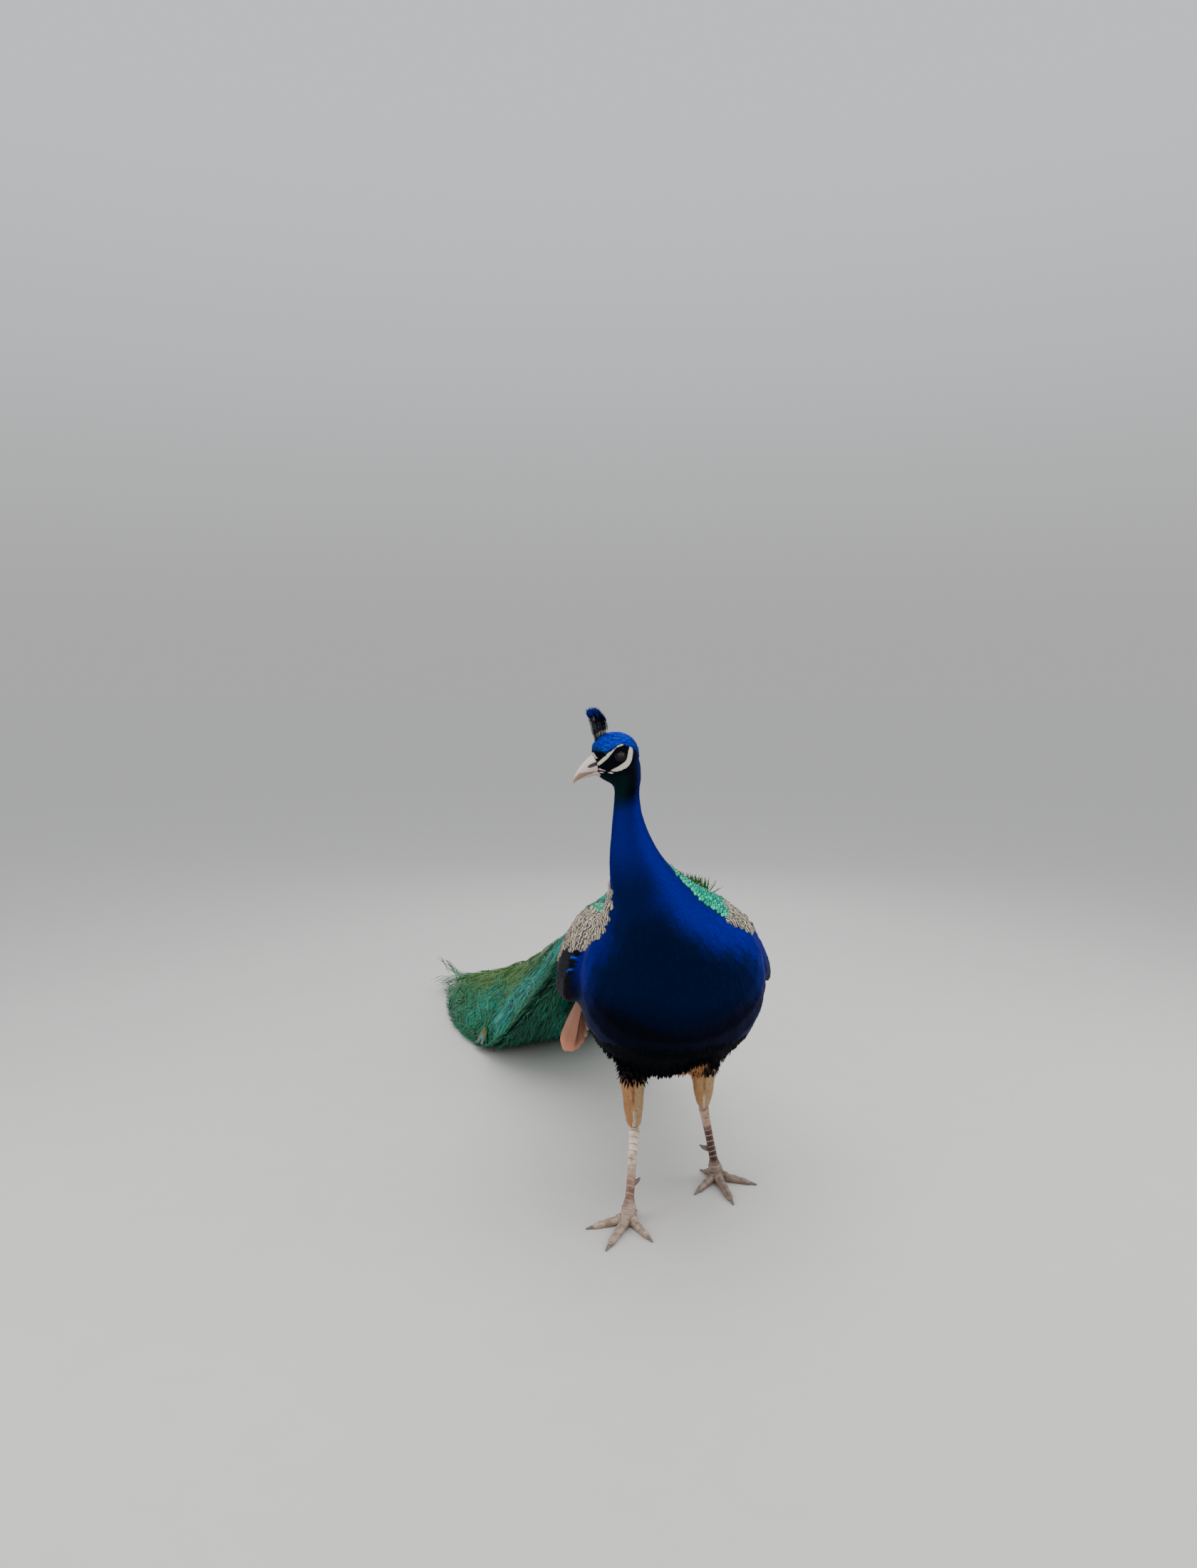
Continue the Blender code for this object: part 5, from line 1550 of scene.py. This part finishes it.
def makeEyes():
    plan = eyePlan
    low, high = plan["open"]
    gloss, lidSkin = eyeMaterial(), lidMaterial()
    turn = Vector(headAhead).to_track_quat("Z", "X").to_euler()
    for sign, label in ((1, "left"), (-1, "right")):
        spot = headPlace(0.0, sign * plan["spread"], 0.0)
        middle = spot + birdOrigin
        outward = headLeft * sign
        eye = ball("eyeball_" + label, middle, plan["radius"], 48, 24, gloss)
        eye.data.shade_smooth()
        keepPiece(eye, "eye_gloss", "eye_" + label)

        # lids turn about the line through the corners of the eye
        lids = ball("eyelids_" + label, middle, plan["lidRadius"], 96, 32, lidSkin, turn)
        edit(lids, nothing)
        for face in lids.data.polygons:
            away = np.array(face.center) - middle
            angle = math.degrees(math.atan2(away[2], away @ outward))
            face.select = low < angle < high or abs(angle) > 105
        edit(lids, (bpy.ops.mesh.delete, {"type": "FACE"}))
        away = surfaceOf(lids)[0] - spot
        angle = np.degrees(np.arctan2(away[:, 2], away @ outward))
        edge = np.minimum(np.abs(angle - low), np.abs(angle - high))
        swell = 1 + 0.036 * ease(9, 3, edge) + 0.022 * np.sin(edge * 0.7) * ease(60, 10, edge)
        # Margin: painted highlight along the edges of the opening; Upper: the darker upper lid
        addFacts(lids.data, Margin=ease(8, 3, edge), Upper=ease(4, 8, angle))
        ahead = away @ headAhead
        corner = np.sign(ahead) * 0.0006 * ease(0.85, 1.0, np.abs(ahead) / plan["lidRadius"])
        setPlaces(lids, spot + away * swell[:, None] + headAhead * corner[:, None])
        modify(lids, ("SOLIDIFY", {"thickness": 0.0005, "offset": 1.0}),
               ("SUBSURF", {"levels": 1, "render_levels": 1}))
        lids.data.shade_smooth()
        keepPiece(lids, "eye_gloss")


def growCrest():
    # a fan of bare shafts, each with a small spreading vane at its tip
    plan = crestPlan
    rng = np.random.default_rng(81)
    count = plan["count"]
    f = (np.arange(count) + 0.5) / count
    lateral = 0.0052 * np.cos(np.arange(count) * 2.4)
    foot = nearest(skinGround, headPlace(0.0175 + 0.0250 * f, lateral * 0.45, 0.036 - 0.012 * f))[0]
    top = 0.0555 + 0.0110 * np.sin(np.pi * (0.06 + 0.62 * f)) + 0.0014 * rng.normal(size=count)
    tip = headPlace(0.0235 + 0.0225 * f + 0.0008 * rng.normal(size=count), lateral * 1.3, top)
    u = np.linspace(0, 1, 9)[None, :, None]
    bow = headAhead * 0.0030 + upward * 0.0005
    path = foot[:, None] + (tip - foot)[:, None] * u - bow * np.sin(np.pi * u) * (1 - f)[:, None, None]
    ahead = unit(np.gradient(path, axis=1))
    side = unit(np.cross(ahead, headLeft))
    over = np.cross(side, ahead)
    angle = np.linspace(0, 2 * np.pi, 6)[None, None, :, None]
    radius = (0.00042 * (1 - 0.45 * u))[:, :, None]
    tubes = path[:, :, None] + radius * (side[:, :, None] * np.cos(angle) + over[:, :, None] * np.sin(angle))
    bake = nearest(skinGround, foot)[2]
    luck = rng.random(count)
    slot = "crest_plumage"
    lay("crestShafts", tubes, bake, plan["shaft"], luck, flightHorn, slot, "crest")

    # short barbs along each shaft
    k = np.repeat(np.arange(count), plan["barbs"])
    n = len(k)
    spot = rng.uniform(0.10, 1.0, n) ** 0.7
    root = foot[k] + (tip - foot)[k] * spot[:, None]
    root = root - (bow * np.sin(np.pi * spot)[:, None]) * (1 - f[k])[:, None]
    way = np.where(rng.random(n) > 0.5, 1.0, -1.0)[:, None]
    go = unit(ahead[k, 4] + side[k, 4] * way * 0.45 + over[k, 4] * rng.normal(size=(n, 1)) * 0.35)
    b = np.linspace(0, 1, 3)[None, :, None]
    line = root[:, None] + go[:, None] * rng.uniform(0.0030, 0.0072, (n, 1, 1)) * b
    half = over[k, 4][:, None] * (0.00027 * (1 - 0.8 * b))
    colours = blend(*plan["barb"], ease(0.70, 1.00, spot + 0.1 * rng.normal(size=n)))
    lay("crestBarbs", np.stack([line - half, line + half], 2), bake[k], colours, luck[k], velvet, slot)

    # a fan of fine barbs round each tip
    k = np.repeat(np.arange(count), plan["fan"])
    n = len(k)
    back = rng.uniform(-0.004, 0.0055, (n, 1))
    lean = rng.normal(size=(n, 2)) * 0.42
    go = unit(ahead[k, -1] + side[k, -1] * lean[:, :1] + over[k, -1] * lean[:, 1:])
    b = np.linspace(0, 1, 4)[None, :, None]
    size = plan["tipLength"] * rng.uniform(0.35, 0.85, (n, 1, 1))
    start = path[k, -1] + ahead[k, -1] * (back - 0.004)
    line = start[:, None] + go[:, None] * size * b + ahead[k, -1][:, None] * size * 0.15 * b ** 2
    half = unit(np.cross(go, rng.normal(size=(n, 3))))[:, None] * 0.00042 * (1 - 0.7 * b)
    front = ease(0.10, 0.70, f[k] + 0.1 * rng.normal(size=n)) * ease(-0.003, 0.003, back[:, 0])
    colours = blend(*plan["fringe"], front * (0.35 + 0.65 * rng.random(n)))
    lay("crestFans", np.stack([line - half, line + half], 2), bake[k], colours, luck[k], crownVelvet, slot)

    # the vanes, two crossed leaves on each shaft
    u = np.linspace(0, 1, 6)[None, :, None, None]
    across = np.linspace(-1, 1, 9)[None, None, :, None]
    ahead, side, over = (v[:, -1] for v in (ahead, side, over))
    start = path[:, -1] - ahead * 0.0050
    both = []
    for leaf, share in ((0, 1.0), (1, 0.6)):
        spin = rng.normal(size=(count, 1)) * 0.35 + leaf * 1.2
        flat = side * np.cos(spin) + over * np.sin(spin)
        size = plan["tipLength"] * rng.uniform(0.85, 1.1, (count, 1, 1, 1))
        wide = plan["tipWidth"] * share * (0.12 + 0.88 * np.sin(np.pi * np.clip(u * 0.80, 0, 1)) ** 0.8)
        jag = 0.09 * rng.normal(size=(count, 1, 9, 1)) * (u > 0.99)
        thick, flat, forward, middle = (v[:, None, None] for v in (np.cross(ahead, flat), flat, ahead, start))
        both.append(middle + forward * size * (u * (1 - 0.25 * across ** 2) + jag)
                    + flat * wide / 2 * across + thick * 0.0012 * across ** 2)
    colours = blend(*plan["vane"], np.tile(ease(0.15, 0.75, f), 2) * np.tile(0.4 + 0.6 * luck, 2))
    lay("crestTips", np.concatenate(both), np.tile(bake, (2, 1)), colours, np.tile(luck, 2), velvet, slot)


makeBill()
makeEyes()
growCrest()
print("head made")


# Legs and feet.

legPlan = {
    "voxel": 0.0010, "scuteStep": 0.0118, "toeScuteStep": 0.0042, "toeSwell": 0.0020, "ankleSwell": 0.0020,
    "toeLength": {"middle": 0.078, "inner": 0.055, "outer": 0.056, "hind": 0.024},
    # where the top of the shank changes to the darker middle, and where pale seams start
    "change": {"right": (0.38, 0.58), "left": (0.15, 0.35)},
    "seams": {"right": (0.36, 0.52), "left": (0.02, 0.12)},
}
# painted light in the leg tones: the left leg darker than the right as painted shade, the pale top of the
# right shank partly painted highlight
legTonesLitAndShaded = {  # top, middle and foot
    "right": (shade(232, 210, 192), shade(172, 132, 112), shade(188, 165, 147)),
    "left": (shade(172, 140, 122), shade(86, 56, 44), shade(152, 131, 117)),
}
clawPlan = {
    "clawHorn": ((0.105, 0.088, 0.080), (0.24, 0.205, 0.19)),
    "spurHorn": ((0.09, 0.065, 0.050), (0.22, 0.17, 0.14)),
}


def legMaterial():
    # small net of scales between the plates, pale or dark in the seams
    material = newMaterial("legScales")
    inputs = {"Scale": 430.0, "Vector": objectPlace()}
    net = node("TexVoronoi", inputs, "Distance", feature="DISTANCE_TO_EDGE")
    fine = maths("MAXIMUM", stepUp(0.0, 0.16, net), fact("Front"))
    grain = noise(260.0, 4.0)
    blotch = ramp(noise(75.0, 4.0), [
        (0.35, (0.62, 0.55, 0.50)), (0.50, (0.95, 0.93, 0.92)), (0.66, (1.25, 1.25, 1.25))])
    painted = mixed(1.0, toneHere(), blotch, "MULTIPLY")
    painted = mixed(grain * 0.4, painted, (0.40, 0.35, 0.32), "MULTIPLY")
    painted = mixed((1.0 - fine) * 0.5, painted, (0.09, 0.065, 0.05))
    seam = mixed(fact("PaleSeam"), (0.050, 0.038, 0.032), (0.50, 0.40, 0.34))
    painted = mixed(fact("Groove") * 0.75, painted, seam)
    return finished(material, {"Base Color": painted, "Roughness": 0.48,
                               "Normal": bump(fine * 0.7 + grain * 0.3, 0.6, 0.0005)})


def ringGroove(run, step):
    # narrow dips between rounded plates
    phase = np.mod(run / step, 1.0)
    return ease(0.13, 0.0, np.minimum(phase, 1 - phase))


def heading(degrees):
    # a level direction, 0 straight ahead
    a = math.radians(degrees - 90)
    return np.array([math.cos(a), math.sin(a), 0.0])


def makeLeg(label, leg, material):
    plan = legPlan
    nodes = ("tarsus_" + label, "foot_" + label)
    piece = copyNodes("leg_" + label, nodes, 0.0004)
    remesh(piece, plan["voxel"], 3)
    places, normals = surfaceOf(piece)
    height = places[:, 2]
    hock, ankle = np.array(leg["hock"]), np.array(leg["ankle"])
    run = (places - hock) @ unit(ankle - hock)
    onShank = ease(0.020, 0.026, height) * (run > -0.004)
    facing = normals @ heading(leg["toes"]["middle"])
    frontShank = onShank * ease(0.05, 0.35, facing)
    arch = 0.0032 * facing + 0.0014 * ripple(places, 120, 6)
    centre = ankle * (1, 1, 0)
    best = np.full(len(places), 1.0)
    toeGroove = np.zeros(len(places))
    for toe, length in plan["toeLength"].items():
        way = heading(leg["toes"][toe])
        away = places - centre
        along = away @ way
        off = np.linalg.norm(away[:, :2] - along[:, None] * way[:2], axis=1)
        mine = (off < best) & (along > 0.006) & (along < length + 0.02)
        best = np.where(mine, off, best)
        toeGroove = np.where(mine, ringGroove(along, plan["toeScuteStep"]), toeGroove)
    onToe = (height < 0.018) * ease(0.15, 0.45, normals[:, 2]) * (best < 0.012)
    # folded rows of scales round the ankle
    fromAnkle = np.linalg.norm(places[:, :2] - ankle[:2], axis=1)
    onAnkle = ease(0.044, 0.034, height) * ease(0.009, 0.014, height) * (fromAnkle < 0.022)
    folds = ringGroove(height + 0.0012 * np.sin(fromAnkle * 400), 0.0046) * onAnkle * ease(-0.3, 0.2, facing)
    share = run / np.linalg.norm(ankle - hock)
    groove = ringGroove(run + arch, plan["scuteStep"]) * frontShank * (1 - onAnkle)
    groove = np.maximum(groove, np.maximum(toeGroove * onToe, folds))
    front = np.maximum(frontShank, np.maximum(onToe, onAnkle))
    # tones of this leg, partly painted shade and highlight
    top, middle, foot = legTonesLitAndShaded[label]
    colours = blend(top, middle, ease(*plan["change"][label], share))
    plate = np.floor((run + arch) / plan["scuteStep"] + 0.5)
    colours = colours * (1 + 0.22 * np.sin(plate * 12.9 + 1.3) * onShank)[:, None]
    addTone(piece.data, blend(colours, foot, ease(0.046, 0.030, height)))
    paleSeam = onShank * (1 - onAnkle) * ease(*plan["seams"][label], share)
    addFacts(piece.data, Groove=groove, Front=front, PaleSeam=paleSeam)
    stout = plan["toeSwell"] * (height < 0.030) * (best < 0.015) + plan["ankleSwell"] * onAnkle
    places = places + normals * (stout - 0.00055 * groove - 0.00010 * front)[:, None]
    places[:, 2] = np.maximum(places[:, 2], 0.0)
    setPlaces(piece, places)
    piece.data.shade_smooth()
    piece.data.materials.append(material)
    keepPiece(piece, "leg_scales", *nodes)


def clawMaterial(name):
    material = newMaterial(name)
    streak = noise(500.0, 4.0)
    dark, light = clawPlan[name]
    return finished(material, {"Base Color": ramp(streak, [(0.3, dark), (0.7, light)]),
                               "Normal": bump(streak, 0.2, 0.0003), "Roughness": 0.42})


def makeClaws():
    horn, spurHorn = clawMaterial("clawHorn"), clawMaterial("spurHorn")
    for label in legs:
        for toe in legPlan["toeLength"]:
            part = "claw_%s_%s" % (label, toe)
            claw = copyNodes("talon_%s_%s" % (label, toe), (part,), 0.0011)
            remesh(claw, 0.00045, 5)
            places, _ = surfaceOf(claw)
            places[:, 2] = np.maximum(places[:, 2], -birdOrigin[2])     # not under the floor
            setPlaces(claw, places)
            claw.data.materials.append(horn)
            keepPiece(claw, "claw_horn", part)
        spur = copyNodes("spurHorn_" + label, ("spur_" + label,), 0.0006)
        remesh(spur, 0.0005, 8)
        spur.data.materials.append(spurHorn)
        keepPiece(spur, "claw_horn", "spur_" + label)


scaleSkin = legMaterial()
for label, leg in legs.items():
    makeLeg(label, leg, scaleSkin)
makeClaws()
print("legs made")


# Floor, light and camera.

studio = {
    "camera": (-0.463, -1.816, 0.950), "down": 5.71, "turn": -10.0, "lens": 24.545,
    "floorTone": (0.66, 0.645, 0.62), "worldTone": (0.90, 0.93, 0.97), "horizonTone": (0.60, 0.60, 0.60),
    "worldStrength": 0.80, "middle": (-0.05, 0.1, 0.4),
    "lights": {  # place, size and power
        "topLight": ((-0.2, -0.1, 2.6), 2.6, 42.0), "leftLight": ((-2.2, -0.6, 1.4), 1.6, 16.0),
        "rightLight": ((2.0, -0.2, 1.5), 1.6, 16.0), "rimLight": ((0.6, 2.6, 1.8), 1.8, 14.0),
        "frontLight": ((-0.5, -2.6, 1.5), 2.0, 9.0)},
}


def makeStudio():
    bpy.ops.mesh.primitive_plane_add(size=80.0, location=(0, 1.0, -0.0006))
    floor = bpy.context.active_object
    floor.name = "floor"
    material = newMaterial("paleFloor")
    colour = mixed(noise(14.0, 5.0), studio["floorTone"], [c * 0.94 for c in studio["floorTone"]])
    floor.data.materials.append(finished(material, {"Base Color": colour, "Roughness": 0.9}))
    world = bpy.data.worlds.new("studioWorld")
    bpy.context.scene.world = world
    world.use_nodes = True
    desk["tree"] = world.node_tree
    up = node("SeparateXYZ", {0: node("TexCoord", {}, "Generated")}, 2)
    sky = mixed(stepUp(0.02, 0.45, up), studio["horizonTone"], studio["worldTone"])
    background = world.node_tree.nodes["Background"].inputs
    put(background["Color"], sky)
    put(background["Strength"], studio["worldStrength"])
    aim = Vector(studio["middle"])
    for name, (place, size, power) in studio["lights"].items():
        turn = (aim - Vector(place)).to_track_quat("-Z", "Y").to_euler()
        bpy.ops.object.light_add(type="AREA", location=Vector(place) + Vector(birdOrigin), rotation=turn)
        light = bpy.context.active_object
        light.name = name
        light.data.shape, light.data.size, light.data.energy = "DISK", size, power
    turn = (math.radians(90 - studio["down"]), 0, math.radians(studio["turn"]))
    bpy.ops.object.camera_add(location=Vector(studio["camera"]) + Vector(birdOrigin), rotation=turn)
    camera = bpy.context.active_object
    camera.data.lens = studio["lens"]
    bpy.context.scene.camera = camera


makeStudio()
print("studio ready")
